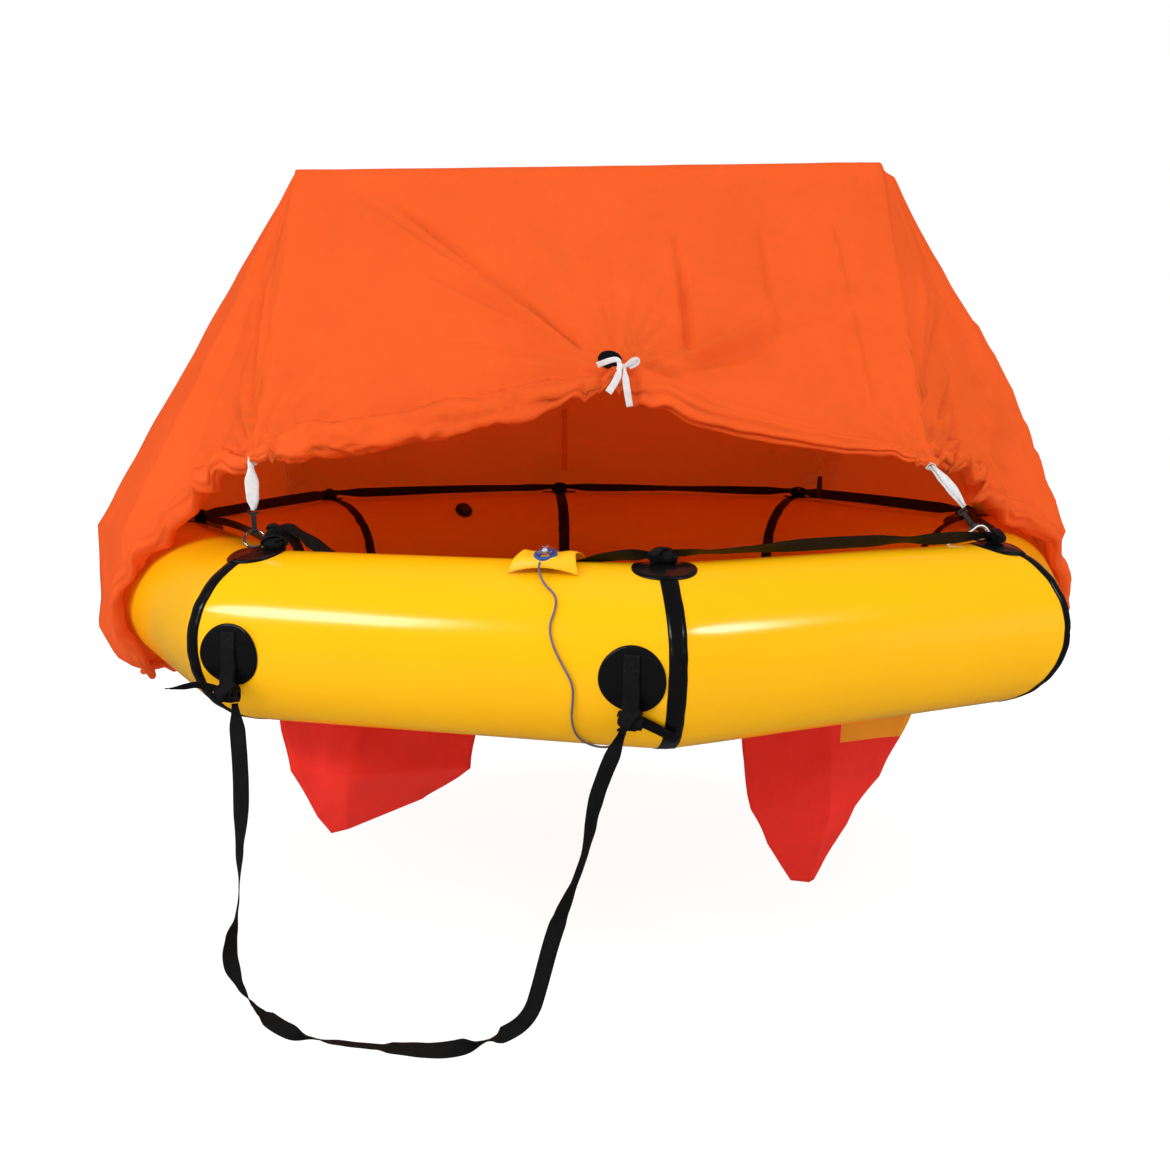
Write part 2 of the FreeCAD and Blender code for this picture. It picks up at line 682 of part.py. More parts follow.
def canopy_sheet():
    """Outer points, merged where columns share the ridge, and triangles that face outwards."""
    grid = canopy_grid()
    points, lookup, ids = [], {}, []
    for column in grid:
        line = []
        for row, p in enumerate(column):
            key = (round(p.x, 3), round(p.y, 3), round(p.z, 3)) if row == 0 else (len(ids), row)
            if key not in lookup:
                lookup[key] = len(points)
                points.append(p)
            line.append(lookup[key])
        ids.append(line)
    triangles = []
    for i in range(len(ids)):
        here, there = ids[i], ids[(i + 1) % len(ids)]
        for row in range(len(here) - 1):
            quad = (here[row], here[row + 1], there[row + 1], there[row])
            for tri in ((quad[0], quad[1], quad[2]), (quad[0], quad[2], quad[3])):
                if len(set(tri)) == 3:
                    triangles.append(tri)
    rim = [line[-1] for line in ids]
    return points, triangles, rim


def build_canopy():
    """One sewn sheet: ridge over the arch, rolled door, free edges at the ends and a gathered hem."""
    points, triangles, rim = canopy_sheet()
    normals = [V(0, 0, 0) for _ in points]
    for a, b, c in triangles:
        normal = (points[b] - points[a]).cross(points[c] - points[a])
        for corner in (a, b, c):
            normals[corner] = normals[corner] + normal
    inner = [p - unit(n) * CLOTH for p, n in zip(points, normals)]
    count = len(points)
    faces = list(triangles)
    faces += [(c + count, b + count, a + count) for a, b, c in triangles]
    for k in range(len(rim)):
        a, b = rim[k], rim[(k + 1) % len(rim)]
        faces.append((a, a + count, b + count))
        faces.append((a, b + count, b))
    shell = Part.Shape()
    shell.makeShapeFromMesh(([tuple(p) for p in points + inner], faces), 0.001)
    solid = Part.Solid(Part.Shell(shell.Faces))
    if solid.Volume < 0:
        solid.reverse()
    parts["canopy"] = solid
    return solid


def build_door(canopy):
    """Round door patch, and the ribbon tied round the rolled door below it."""
    top = V(DOOR_TOP[0], DOOR_TOP[1], TUBE_TOP + DOOR_TOP[2])
    up = unit(ridge_arc(top.x, top)[-1] - top)
    out = up.cross(V(-1, 0, 0))
    disc_place = frame_at(top + up * 62.0 + out * DISC_LIFT, V(1, 0, 0), out)
    disc = placed(Part.makeCylinder(22.0, 1.6, V(0, 0, 0)), disc_place)
    parts["door_disc"] = biggest(disc.cut(canopy))
    knot_centre = top + V(24.0, -46.0, 26.0)
    knot = revolve([(0, -9), (6, -8), (8, -3), (8, 3), (6, 8), (0, 9)], frame_at(knot_centre, V(0, 0, 1), V(1, 0, 0)))
    pieces = []
    for lean, length in ((-0.42, 46.0), (0.5, 70.0)):
        place = frame_at(knot_centre, V(0, 1, 0), V(-lean, 0, 1))
        pieces.append(ribbon([(0, 0), (-3, -length / 3), (2, -2 * length / 3), (-1, -length)],
                             TIE_THICK, 11.0, place))
    loop = frame_at(knot_centre, V(0, 1, 0), V(0.3, 0.5, 1))
    pieces.append(ribbon([(0, 0), (2, 12), (14, 30), (30, 44)], TIE_THICK, 11.0, loop))
    parts["door_ribbon"] = biggest(knot.multiFuse(pieces).cut(canopy).cut(parts["door_disc"]))


def build_rear_ties(canopy):
    """Window tape, two vent cords and the toggle, hung from the back of the canopy."""
    back = 0.652 * (RING_RADIUS + 202.0)
    tape = ribbon([(0, 0), (4, -60), (-3, -120), (0, -186)], TIE_THICK, TIE_WIDTH,
                  frame_at(V(-2, back, TUBE_TOP + 250), V(0, 1, 0), V(0, 0, 1)))
    parts["window_tape"] = biggest(tape.cut(canopy))
    rises = ((44.3, 58.4, 125), (42.3, 17.0, 95), (38.75, -44.0, 66), (37.35, -70.2, 40))
    hang_right = [polar(angle, RING_RADIUS + out, TUBE_TOP + rise) for angle, out, rise in rises]
    cord_right = biggest(cord_tube(hang_right, 3.0, "vent cord right").cut(canopy))
    toggle = frame_at(hang_right[-1] - V(0, 0, 6.0), V(1, 0, 0), V(0.1, 0.25, 1))
    body = revolve([(0, -28), (4, -28), (6, -24), (7, 0), (6, 24), (4, 28), (0, 28)], toggle)
    body = body.cut(cord_right).cut(parts["buoyancy_tube"])
    parts["toggle"] = biggest(body)
    rises = ((140.6, 72.1, 108), (139.95, 57.6, 50), (139.5, 45.7, -6))
    hang_left = [polar(angle, RING_RADIUS + out, TUBE_TOP + rise) for angle, out, rise in rises]
    cord = cord_tube(hang_left, 3.0, "vent cord left").cut(canopy).cut(parts["buoyancy_tube"])
    parts["vent_cords"] = Part.makeCompound([cord_right, biggest(cord)])


def valve_frame():
    """Seat of the topping-up valve on the inner face of the rear left length."""
    side, run, angle = 4, 0.0, 132.0
    return frame_at(on_tube(side, run, angle, -3.0), side_frame(side)[2], tube_normal(side, angle))


def build_valve():
    """Turned body with a seat, sprung poppet under a cap that turns a quarter to lock."""
    place = valve_frame()
    barrel = VALVE_BARREL - FIT_GAP / 3
    bore = VALVE_BARREL - VALVE_WALL
    seat = POPPET_RADIUS - 2.5
    deep = -VALVE_DEPTH
    body = revolve([(seat, -4), (bore, -4), (bore, 5), (barrel + 3, 5), (barrel + 3, 9), (VALVE_FLANGE, 9),
                    (VALVE_FLANGE, 3.4), (barrel, 3.4), (barrel, deep + 0.2), (4, deep + 0.2), (4, deep + 3),
                    (bore, deep + 3), (bore, -7), (seat, -7)], place)
    parts["valve_body"] = biggest(body.cut(parts["buoyancy_tube"]))
    head = POPPET_RADIUS
    low = -7 - FIT_GAP
    parts["valve_poppet"] = revolve([(0, low), (head, low), (head, low - 3), (2.5, low - 3), (2.5, deep + 8),
                                     (0, deep + 8)], place)
    parts["valve_poppet"] = parts["valve_poppet"].fuse(
        placed(Part.makeCylinder(2.2, 8.0, V(0, 0, low)), place))
    coil = Part.makeHelix(4.0, low - 3.6 - SPRING_BAR / 2 - deep - 3.6 - SPRING_BAR / 2, 5.2)
    start = V(5.2, 0, 0)
    profile = Part.Wire(Part.makeCircle(SPRING_BAR / 2, start, V(0, 1, 0)))
    spring = Part.Wire(coil.Edges).makePipeShell([profile], True, True)
    lift = FreeCAD.Placement(V(0, 0, deep + 3.3 + SPRING_BAR / 2), FreeCAD.Rotation())
    parts["valve_spring"] = placed(placed(spring, lift), place)
    top = 9 + FIT_GAP
    cap = [(0, top), (CAP_RADIUS, top), (CAP_RADIUS, top + CAP_HEIGHT - 2), (CAP_RADIUS - 2, top + CAP_HEIGHT),
           (0, top + CAP_HEIGHT)]
    solid = revolve(cap, place)
    stub = placed(Part.makeCylinder(bore - FIT_GAP, 5.0, V(0, 0, top - 5.0)), place)
    solid = solid.fuse(stub)
    for step in range(12):
        a = step * 30.0
        notch = Part.makeCylinder(1.6, CAP_HEIGHT + 2, V(CAP_RADIUS + 0.4, 0, top - 1))
        notch.rotate(V(0, 0, 0), V(0, 0, 1), a)
        solid = solid.cut(placed(notch, place))
    parts["valve_cap"] = biggest(solid)
    return place


def side_patch_seat(side_run):
    return on_tube(7, side_run, -4.0), tube_normal(7, -4.0)


def build_side_patch(run, side, tail):
    """Round patch, sewn webbing loop and the strap's knot below it."""
    skin = ring_of(TUBE_RADIUS + SIDE_PATCH_THICK).cut(ring_of(TUBE_RADIUS))
    seat, normal = side_patch_seat(run)
    disc = Part.makeCylinder(SIDE_PATCH_RADIUS, 90.0, seat - normal * 60.0, normal)
    parts["side_patch_" + side] = biggest(skin.common(disc).cut(parts["seam_tape_front_left"]))
    middle, outward, along = side_frame(7)
    place = FreeCAD.Placement(frame_at(middle + along * run, outward, V(0, 0, 1)))
    radius = TUBE_RADIUS + SIDE_PATCH_THICK + WEB_THICK / 2
    points = []
    for angle in (10.0, 4.0, -2.0, -8.0, -13.0):
        a = math.radians(angle)
        points.append((radius * math.cos(a), radius * math.sin(a)))
    points += [(radius + 2.0, -44.0), (radius + 4.0, -56.0)]
    strip = ribbon(points, WEB_THICK, WEB_WIDTH, place)
    knot_low = place.multVec(V(radius + 1.5, 0, -68.0))
    knot = build_strap_knot(knot_low, along)
    strip = strip.cut(parts["side_patch_" + side]).cut(knot).cut(parts["buoyancy_tube"])
    parts["webbing_loop_" + side] = biggest(strip)
    pieces = [knot] + tail(place, radius)
    solid = knot.multiFuse(pieces[1:]).cut(parts["buoyancy_tube"]).cut(parts["side_patch_" + side])
    solid = solid.cut(parts["webbing_loop_" + side]).cut(parts["seam_tape_front_left"])
    parts["strap_knot_" + side] = biggest(solid.cut(parts["seam_tape_front_middle"]))
    return knot_low


def build_strap_knot(centre, along):
    profile = [(0, -19), (9, -18), (14, -12), (15, -4), (13, 0), (15, 5), (14, 12), (9, 18), (0, 19)]
    barrel = revolve(profile, frame_at(centre, V(0, 0, 1), along))
    return barrel


def left_tail(place, radius):
    """Loose end of the strap, lying out to the left along the tube."""
    lay = place.multiply(FreeCAD.Placement(V(radius + 2, 0, -66), FreeCAD.Rotation(V(0, 0, 1), -90)))
    return [ribbon([(0, 0), (22, 3), (50, 6), (78, 1)], WEB_THICK, 9.0, lay)]


def right_tail(place, radius):
    """Short end laid down the tube from the knot to the next seam tape."""
    strips = []
    for k in range(5):
        turn = math.radians(-32.0 - k * 3.0)
        run = 8.0 + k * 11.0
        at = place.multVec(V((radius + 0.6) * math.cos(turn), run, (radius + 0.6) * math.sin(turn)))
        normal = place.Rotation.multVec(V(math.cos(turn), 0, math.sin(turn)))
        along = place.Rotation.multVec(V(0, 1, -0.45))
        strips.append(placed(Part.makeBox(16.0, 16.0, 1.6, V(-8, -8, -0.8)), frame_at(at, along, normal)))
    return strips


def build_strap(left_knot, right_knot):
    """Boarding strap hung between the two side patches, at its real length."""
    run = unit(V(right_knot.x - left_knot.x, right_knot.y - left_knot.y, 0))
    route = [(10, -12), (15, -75), (17, -170), (8, -265), (6, -345), (-12, -400), (-16, -450), (18, -508),
             (72, -545), (130, -553), (205, -553), (282, -547), (352, -542), (415, -518), (468, -492),
             (497, -460), (510, -415), (530, -336), (551, -278), (571, -232), (586, -180), (590, -145),
             (604, -90)]
    points = [left_knot + run * s + V(0, 0, z) for s, z in route]
    reach = V(right_knot.x - left_knot.x, right_knot.y - left_knot.y, 0).Length
    points.append(left_knot + run * (reach - 12) + V(0, 0, right_knot.z - left_knot.z - 12))
    strap = cord_tube(points, STRAP_DIAMETER, "boarding strap")
    strap = strap.cut(parts["strap_knot_left"]).cut(parts["strap_knot_right"])
    parts["boarding_strap"] = biggest(strap)
    print("strap points", [(round(p.x, 1), round(p.y, 1), round(p.z, 1)) for p in points])


def build_light():
    """Yellow flap that stands off the tube, with the blue lamp base, dome and bulb on it."""
    middle, outward, along = side_frame(7)
    place = frame_at(middle + along * 167.0, outward, V(0, 0, 1))
    top = TUBE_RADIUS
    foot_out, foot_in = 63.0, -22.0
    points = [(foot_out, math.sqrt(top ** 2 - foot_out ** 2) - 2), (foot_out - 1, top - 6),
              (foot_out - 3, top + 3), (25, top + 17), (-5, top + 10), (foot_in, math.sqrt(top ** 2 - foot_in ** 2) - 1)]
    flap = ribbon(points, TIE_THICK, 88.0, place)
    parts["light_flap"] = biggest(flap.cut(parts["buoyancy_tube"]))
    slope = V(18, 0, 45)
    normal = place.Rotation.multVec(unit(slope))
    seat = place.multVec(V(47.5, 0, top + 8.0)) + normal * (TIE_THICK / 2)
    lamp = frame_at(seat, along, normal)
    base = revolve([(0, 0), (LIGHT_RADIUS, 0), (LIGHT_RADIUS, LIGHT_BASE - 2), (LIGHT_RADIUS - 2, LIGHT_BASE),
                    (DOME_RADIUS + 1, LIGHT_BASE), (DOME_RADIUS, LIGHT_BASE - 1), (DOME_RADIUS, LIGHT_BASE - 2),
                    (0, LIGHT_BASE - 2)], lamp)
    parts["light_base"] = base
    arc = [(DOME_RADIUS * math.cos(math.radians(a)), LIGHT_BASE + 1 + DOME_RADIUS * math.sin(math.radians(a)))
           for a in range(0, 91, 15)]
    inner = [((DOME_RADIUS - 1.5) * math.cos(math.radians(a)),
              LIGHT_BASE + 1 + (DOME_RADIUS - 1.5) * math.sin(math.radians(a))) for a in range(90, -1, -15)]
    shell = [(DOME_RADIUS, LIGHT_BASE - 2)] + arc[:-1] + [(0, arc[-1][1]), (0, inner[0][1])] + inner[1:]
    dome = revolve(shell + [(DOME_RADIUS - 1.5, LIGHT_BASE - 2)], lamp)
    parts["light_dome"] = biggest(dome.cut(base))
    bulb = [(0, LIGHT_BASE - 2), (3, LIGHT_BASE - 2), (3, LIGHT_BASE + 2), (4, LIGHT_BASE + 5), (2, LIGHT_BASE + 9),
            (0, LIGHT_BASE + 9)]
    parts["light_bulb"] = revolve(bulb, lamp)
    return lamp


def build_wire(lamp):
    """Thin wire from the lamp down the face of the tube to the battery cell under it."""
    start = lamp.multVec(V(-4.0, -LIGHT_RADIUS - 0.2, 3.0))
    first = lamp.multVec(V(-4.0, -LIGHT_RADIUS - 14.0, 1.0))
    wander = ((53, 176), (45, 200), (36, 204), (25, 198), (14, 206), (3, 222), (-8, 238), (-19, 236),
              (-30, 230), (-41, 228), (-52, 230), (-63, 240), (-74, 252), (-85, 260))
    points = [start, first]
    for angle, run in wander:
        points.append(on_tube(7, run, angle, WIRE_DIAMETER / 2 + 2.2))
    points.append(on_tube(7, 262, -96, WIRE_DIAMETER / 2 + 3.0))
    points.append(on_tube(7, 262, -110, WIRE_DIAMETER / 2 + 2.0) - V(0, 0, 12.0))
    wire = cord_tube(points, WIRE_DIAMETER, "light wire")
    parts["light_wire"] = wire
    print("wire points", [(round(p.x, 1), round(p.y, 1), round(p.z, 1)) for p in points])
    return points[-1]


def build_cell(end):
    """Battery cell under the floor beside the tube, and the strap that holds it."""
    middle, outward, along = side_frame(7)
    seat = middle + along * 262.0 - outward * CELL_INBOARD
    seat.z = FLOOR_HEIGHT - CELL_RADIUS - FIT_GAP
    cell = Part.makeCylinder(CELL_RADIUS, CELL_LENGTH, seat - along * CELL_LENGTH / 2, along)
    normal = V(0, 0, -1)
    boss = Part.makeCylinder(4.0, 40.0, end, unit(seat - end))
    boss = boss.cut(parts["buoyancy_tube"]).cut(parts["light_wire"])
    parts["battery_cell"] = biggest(cell.fuse(biggest(boss)).cut(parts["light_wire"]))
    outer = CELL_RADIUS + TIE_THICK + 0.1
    hoop = Part.makeCylinder(outer, 16.0, seat - along * 8.0, along)
    feet = placed(Part.makeBox(64.0, 16.0, 3.0, V(-32, -8, -1.4)), frame_at(seat - normal * (CELL_RADIUS + 0.6), along.cross(normal), normal))
    strap = hoop.fuse(feet).cut(parts["battery_cell"]).cut(parts["buoyancy_tube"]).cut(parts["floor"])
    parts["cell_strap"] = biggest(strap.cut(parts["light_wire"]))


def bag_loft(scale_wall, depth, keel, mirror, waist, waist_level, lean):
    """Ruled loft down three rings of six corners to a short keel, which may lean up to one end."""
    top = ((-150, -40), (-20, -75), (150, -40), (110, 70), (0, 130), (-110, 70))
    foot = ((keel[0] - 12, -12), (keel[0] + 20, -26), (keel[1] + 10, -12), (keel[1] + 8, 10), (keel[0] + 20, 16),
            (keel[0] - 10, 10))
    rings = ((top, 0.0), (waist, waist_level), (foot, 1.0))
    wires = []
    for outline, level in rings:
        shift = scale_wall if level < 1 else scale_wall * 0.5
        mid_x = sum(p[0] for p in outline) / len(outline)
        mid_y = sum(p[1] for p in outline) / len(outline)
        corners = []
        for x, y in outline:
            away = math.hypot(x - mid_x, y - mid_y)
            f = (away - shift) / away
            corner = V(mid_x + (x - mid_x) * f, (mid_y + (y - mid_y) * f) * mirror, -level * depth)
            if level == 1:
                corner.z += scale_wall * 1.5 + lean * (corner.x - keel[0])
            corners.append(corner)
        wires.append(Part.makePolygon(corners + [corners[0]]))
    return Part.makeLoft(wires, True, True)


WAISTS = {
    "even": (((-155, -68), (-18, -108), (150, -62), (100, 58), (4, 104), (-95, 52)), 0.40, 0.0),
    "leaning": (((-136, -60), (-62, -112), (143, -70), (105, 60), (5, 100), (-100, 50)), 0.50, 0.36),
    "narrow": (((-159, -60), (-24, -105), (38, -55), (30, 50), (0, 84), (-118, 45)), 0.60, 0.0)}


def build_bag(name, x, y, depth, keel, mirror, shape="even"):
    """Cloth bag hung under the floor, open at the top where the water comes in."""
    at = V(x, y, FLOOR_HEIGHT)
    outer = bag_loft(0.0, depth, keel, mirror, *WAISTS[shape])
    inner = bag_loft(BAG_WALL * 1.4, depth, keel, mirror, *WAISTS[shape])
    bag = outer.cut(inner)
    bag.translate(at)
    parts["ballast_bag_" + name] = biggest(bag.cut(parts["buoyancy_tube"]).cut(parts["floor"]))


def build_gas():
    """Gas cylinder under the floor at the stern, its head, lever, straps, hose and inlet."""
    y = 430.0
    z = FLOOR_HEIGHT - GAS_RADIUS - 3.0
    half = GAS_LENGTH / 2
    lay = frame_at(V(0, y, z), V(0, 0, 1), V(1, 0, 0))
    r = GAS_RADIUS
    bottle = revolve([(0, -half), (r * 0.5, -half + 4), (r * 0.87, -half + 16), (r, -half + 36), (r, half - 40),
                      (r * 0.87, half - 20), (r * 0.5, half - 6), (14, half), (14, half + 12), (0, half + 12)], lay)
    parts["gas_cylinder"] = bottle
    head_start = half + 12
    head = revolve([(0, head_start), (HEAD_RADIUS + 2, head_start), (HEAD_RADIUS + 2, head_start + 8),
                    (HEAD_RADIUS, head_start + 10), (HEAD_RADIUS, head_start + 42), (0, head_start + 42)], lay)
    outlet = Part.makeCylinder(9.0, 26.0, V(head_start + 24, y, z), V(0, 1, 0))
    pivot = V(head_start + 34, y - HEAD_RADIUS - 5, z)
    ears = [Part.makeBox(10, 10, 3, V(pivot.x - 5, y - HEAD_RADIUS - 10, z + s - 1.5)) for s in (-6.5, 6.5)]
    roots = [Part.makeBox(10, HEAD_RADIUS, 3, V(pivot.x - 5, y - HEAD_RADIUS - 2, z + s - 1.5)) for s in (-6.5, 6.5)]
    head = head.multiFuse([outlet] + ears + roots)
    pin = Part.makeCylinder(2.0, 16.0, pivot - V(0, 0, 8), V(0, 0, 1))
    parts["cylinder_head"] = biggest(head.fuse(pin))
    arm = Part.makeBox(46, 5, 8, V(pivot.x, pivot.y - 2.5, z - 4))
    tip = Part.makeCylinder(5.0, 8.0, V(pivot.x + 44, pivot.y, z - 4))
    lever = arm.multiFuse([tip, Part.makeCylinder(4.6, 8.0, V(pivot.x, pivot.y, z - 4))])
    hole = Part.makeCylinder(2.0 + 0.05, 20.0, pivot - V(0, 0, 10), V(0, 0, 1))
    eye = Part.makeCylinder(2.2, 20.0, V(pivot.x + 44, pivot.y, z - 10))
    parts["firing_lever"] = biggest(lever.cut(hole).cut(eye))
    print("lever pivot", pivot)
    straps = []
    for x in (-90.0, 70.0):
        hoop = Part.makeCylinder(r + WEB_THICK, 38.0, V(x, y, z), V(1, 0, 0))
        feet = Part.makeBox(38.0, 2 * r + 90, 3.0, V(x, y - r - 45, FLOOR_HEIGHT - 3.0))
        straps.append(biggest(hoop.fuse(feet).cut(bottle).cut(parts["floor"])))
    parts["cylinder_straps"] = Part.makeCompound(straps)
    end = V(head_start + 24, 0, 0)
    on_line = RING_RADIUS - end.x * math.tan(math.radians(22.5))
    inlet_at = V(end.x, on_line, 0.0)
    base = Part.makeCylinder(22.0, 14.0, inlet_at - V(0, 0, 4.0))
    stem = Part.makeCylinder(11.0, 22.0, inlet_at - V(0, 0, 26.0))
    elbow = Part.makeCylinder(8.0, 30.0, inlet_at - V(0, 0, 17.0), V(0, -1, 0))
    parts["inlet_valve"] = biggest(base.multiFuse([stem, elbow]).cut(parts["buoyancy_tube"]))
    route = [V(end.x, y + 26, z), V(end.x, y + 86, z), V(end.x + 2, y + 150, z + 12), V(end.x, y + 220, -17.0),
             V(end.x, on_line - 30, -17.0)]
    parts["inflation_hose"] = cord_tube(route, HOSE_DIAMETER, "inflation hose")


def build_all():
    ring = build_tube()
    build_tapes(ring)
    build_patches(ring)
    build_anchors()
    build_lifeline()
    build_floor()
    build_arch()
    canopy = build_canopy()
    for index, side, door in ((7, "left", DOOR_LEFT), (1, "right", DOOR_RIGHT)):
        corner = door_corner(door)
        build_ring(index, side)
        build_hook(index, side, corner)
        build_tie(index, side, corner, canopy)
    build_door(canopy)
    build_rear_ties(canopy)
    build_valve()
    half = RING_RADIUS * math.sin(math.pi / SIDES)
    left_knot = build_side_patch(12.0 - half, "left", left_tail)
    right_knot = build_side_patch(half - 10.0, "right", right_tail)
    build_strap(left_knot, right_knot)
    lamp = build_light()
    end = build_wire(lamp)
    build_cell(end)
    build_bag("front_left", -430.0, -480.0, BAG_DEPTH_SHORT + 12, (-92.0, 50.0), 1, "leaning")
    build_bag("front_right", 395.0, -440.0, BAG_DEPTH_LONG, (-56.0, -32.0), 1, "narrow")
    build_bag("rear_left", -420.0, 450.0, BAG_DEPTH_SHORT, (-60.0, 30.0), -1)
    build_bag("rear_right", 430.0, 450.0, BAG_DEPTH_SHORT, (-30.0, 50.0), -1)
    build_gas()


build_all()
os.makedirs("parts", exist_ok=True)
for name, shape in parts.items():
    state = "" if shape.isValid() and len(shape.Solids) else " NOT VALID"
    print(name, "solids", len(shape.Solids), "volume", round(shape.Volume), state)
    shape.exportStep("parts/" + name + ".step")
print("nodes", len(parts))
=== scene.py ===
# Backpack life raft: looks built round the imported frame
import math
import bpy
import bmesh
import numpy as np
from mathutils import Vector, Matrix, noise


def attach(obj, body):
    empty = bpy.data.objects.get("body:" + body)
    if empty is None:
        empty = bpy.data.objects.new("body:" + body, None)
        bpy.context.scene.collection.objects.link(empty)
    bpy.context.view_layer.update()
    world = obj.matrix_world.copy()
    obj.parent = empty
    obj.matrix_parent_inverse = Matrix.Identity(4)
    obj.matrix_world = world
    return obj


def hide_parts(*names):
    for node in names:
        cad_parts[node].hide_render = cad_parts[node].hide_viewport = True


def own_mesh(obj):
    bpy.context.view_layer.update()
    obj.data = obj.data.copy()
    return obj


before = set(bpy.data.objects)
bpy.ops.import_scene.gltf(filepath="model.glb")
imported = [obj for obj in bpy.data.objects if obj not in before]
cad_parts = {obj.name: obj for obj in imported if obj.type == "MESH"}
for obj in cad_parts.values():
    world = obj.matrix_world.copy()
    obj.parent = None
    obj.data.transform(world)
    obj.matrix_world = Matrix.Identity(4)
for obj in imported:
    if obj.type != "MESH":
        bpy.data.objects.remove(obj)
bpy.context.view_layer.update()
print("frame loaded")

scene = bpy.context.scene
scene.view_settings.view_transform = "Standard"

# camera
cameraData = bpy.data.cameras.new("camera")
cameraData.sensor_width = 36.0
cameraData.lens = 40.15
cameraData.clip_end = 60.0
camera = bpy.data.objects.new("camera", cameraData)
camera.matrix_world = Matrix(((0.9942, 0.0121, -0.107, -0.3256),
                              (-0.1077, 0.1328, -0.9853, -2.7998),
                              (0.0022, 0.9911, 0.1333, 0.511),
                              (0, 0, 0, 1)))
scene.collection.objects.link(camera)
scene.camera = camera


# small helpers
raft = {"ringRadius": 0.875, "tubeRadius": 0.14, "tapeWidth": 0.03, "tapeLift": 0.0012,
        "patchSkin": 0.1422, "sideShift": 0.042, "patchOut": 0.024}
tubeTop = 2 * raft["tubeRadius"]
apothem = raft["ringRadius"] * math.cos(math.pi / 8)
halfSide = raft["ringRadius"] * math.sin(math.pi / 8)
cornerNames = ["front_middle", "front_right", "right", "rear_right", "rear_middle", "rear_left", "left",
               "front_left"]


def polar(angle, radius, z=0.0):
    a = math.radians(angle)
    return Vector((radius * math.cos(a), radius * math.sin(a), z))


def cornerAngle(index):
    return -90.0 + 45.0 * index


def sideAxes(side):
    out = polar(cornerAngle(side) + 22.5, 1.0)
    return out, Vector((-out.y, out.x, 0)), out * apothem + Vector((0, 0, raft["tubeRadius"]))


def onTube(side, run, angle, lift=0.0):
    out, along, middle = sideAxes(side)
    a = math.radians(angle)
    outwards = out * math.cos(a) + Vector((0, 0, math.sin(a)))
    return middle + along * run + outwards * (raft["tubeRadius"] + lift)


def axesAt(origin, xAxis, zAxis):
    z = Vector(zAxis).normalized()
    x = (Vector(xAxis) - z * Vector(xAxis).dot(z)).normalized()
    y = z.cross(x)
    return Matrix(((x.x, y.x, z.x, origin[0]), (x.y, y.y, z.y, origin[1]), (x.z, y.z, z.z, origin[2]),
                   (0, 0, 0, 1)))


def addMesh(name, verts, faces, materials, uvs=None, smooth=True, faceMaterials=None):
    mesh = bpy.data.meshes.new(name)
    mesh.from_pydata([tuple(v) for v in verts], [], faces)
    for material in materials if isinstance(materials, (list, tuple)) else [materials]:
        mesh.materials.append(material)
    if uvs is not None:
        layer = mesh.uv_layers.new(name="UVMap")
        flat = [c for face in uvs for uv in face for c in uv]
        layer.data.foreach_set("uv", flat)
    mesh.polygons.foreach_set("use_smooth", [smooth] * len(mesh.polygons))
    if faceMaterials is not None:
        mesh.polygons.foreach_set("material_index", faceMaterials)
    mesh.update()
    piece = bpy.data.objects.new(name, mesh)
    scene.collection.objects.link(piece)
    return piece


def gridMesh(name, rows, material, wrapRows=False, wrapCols=False, uvRows=None, flip=False,
             faceMaterials=None):
    # rows: a list of lines of points, every line as long as the next
    count, width = len(rows), len(rows[0])
    verts = [p for row in rows for p in row]
    faces, uvs = [], []
    for i in range(count if wrapRows else count - 1):
        for j in range(width if wrapCols else width - 1):
            ids = [(i, j), (i + 1, j), (i + 1, j + 1), (i, j + 1)]
            if flip:
                ids.reverse()
            faces.append([(a % count) * width + (b % width) for a, b in ids])
            if uvRows is not None:
                uvs.append([uvRows(a, b) for a, b in ids])
    return addMesh(name, verts, faces, material, uvs if uvRows is not None else None, True, faceMaterials)


def evenPoints(points, count):
    lengths = [0.0]
    for a, b in zip(points, points[1:]):
        lengths.append(lengths[-1] + (b - a).length)
    result, i = [], 0
    for step in range(count + 1):
        goal = lengths[-1] * step / count
        while i < len(points) - 2 and lengths[i + 1] < goal:
            i += 1
        span = max(lengths[i + 1] - lengths[i], 1e-9)
        result.append(points[i].lerp(points[i + 1], (goal - lengths[i]) / span))
    return result


def splinePoints(points, count, closed=False):
    # smooth line from a NURBS curve with the points as its controls
    curve = bpy.data.curves.new("line", "CURVE")
    curve.dimensions = "3D"
    spline = curve.splines.new("NURBS")
    spline.points.add(len(points) - 1)
    for point, p in zip(spline.points, points):
        point.co = (p[0], p[1], p[2], 1.0)
    spline.order_u = 3
    spline.use_endpoint_u = not closed
    spline.use_cyclic_u = closed
    spline.resolution_u = max(4, int(4 * count / len(points)))
    holder = bpy.data.objects.new("line", curve)
    scene.collection.objects.link(holder)
    mesh = bpy.data.meshes.new_from_object(holder.evaluated_get(bpy.context.evaluated_depsgraph_get()))
    line = [v.co.copy() for v in mesh.vertices]
    bpy.data.objects.remove(holder)
    bpy.data.curves.remove(curve)
    bpy.data.meshes.remove(mesh)
    return evenPoints(line, count)


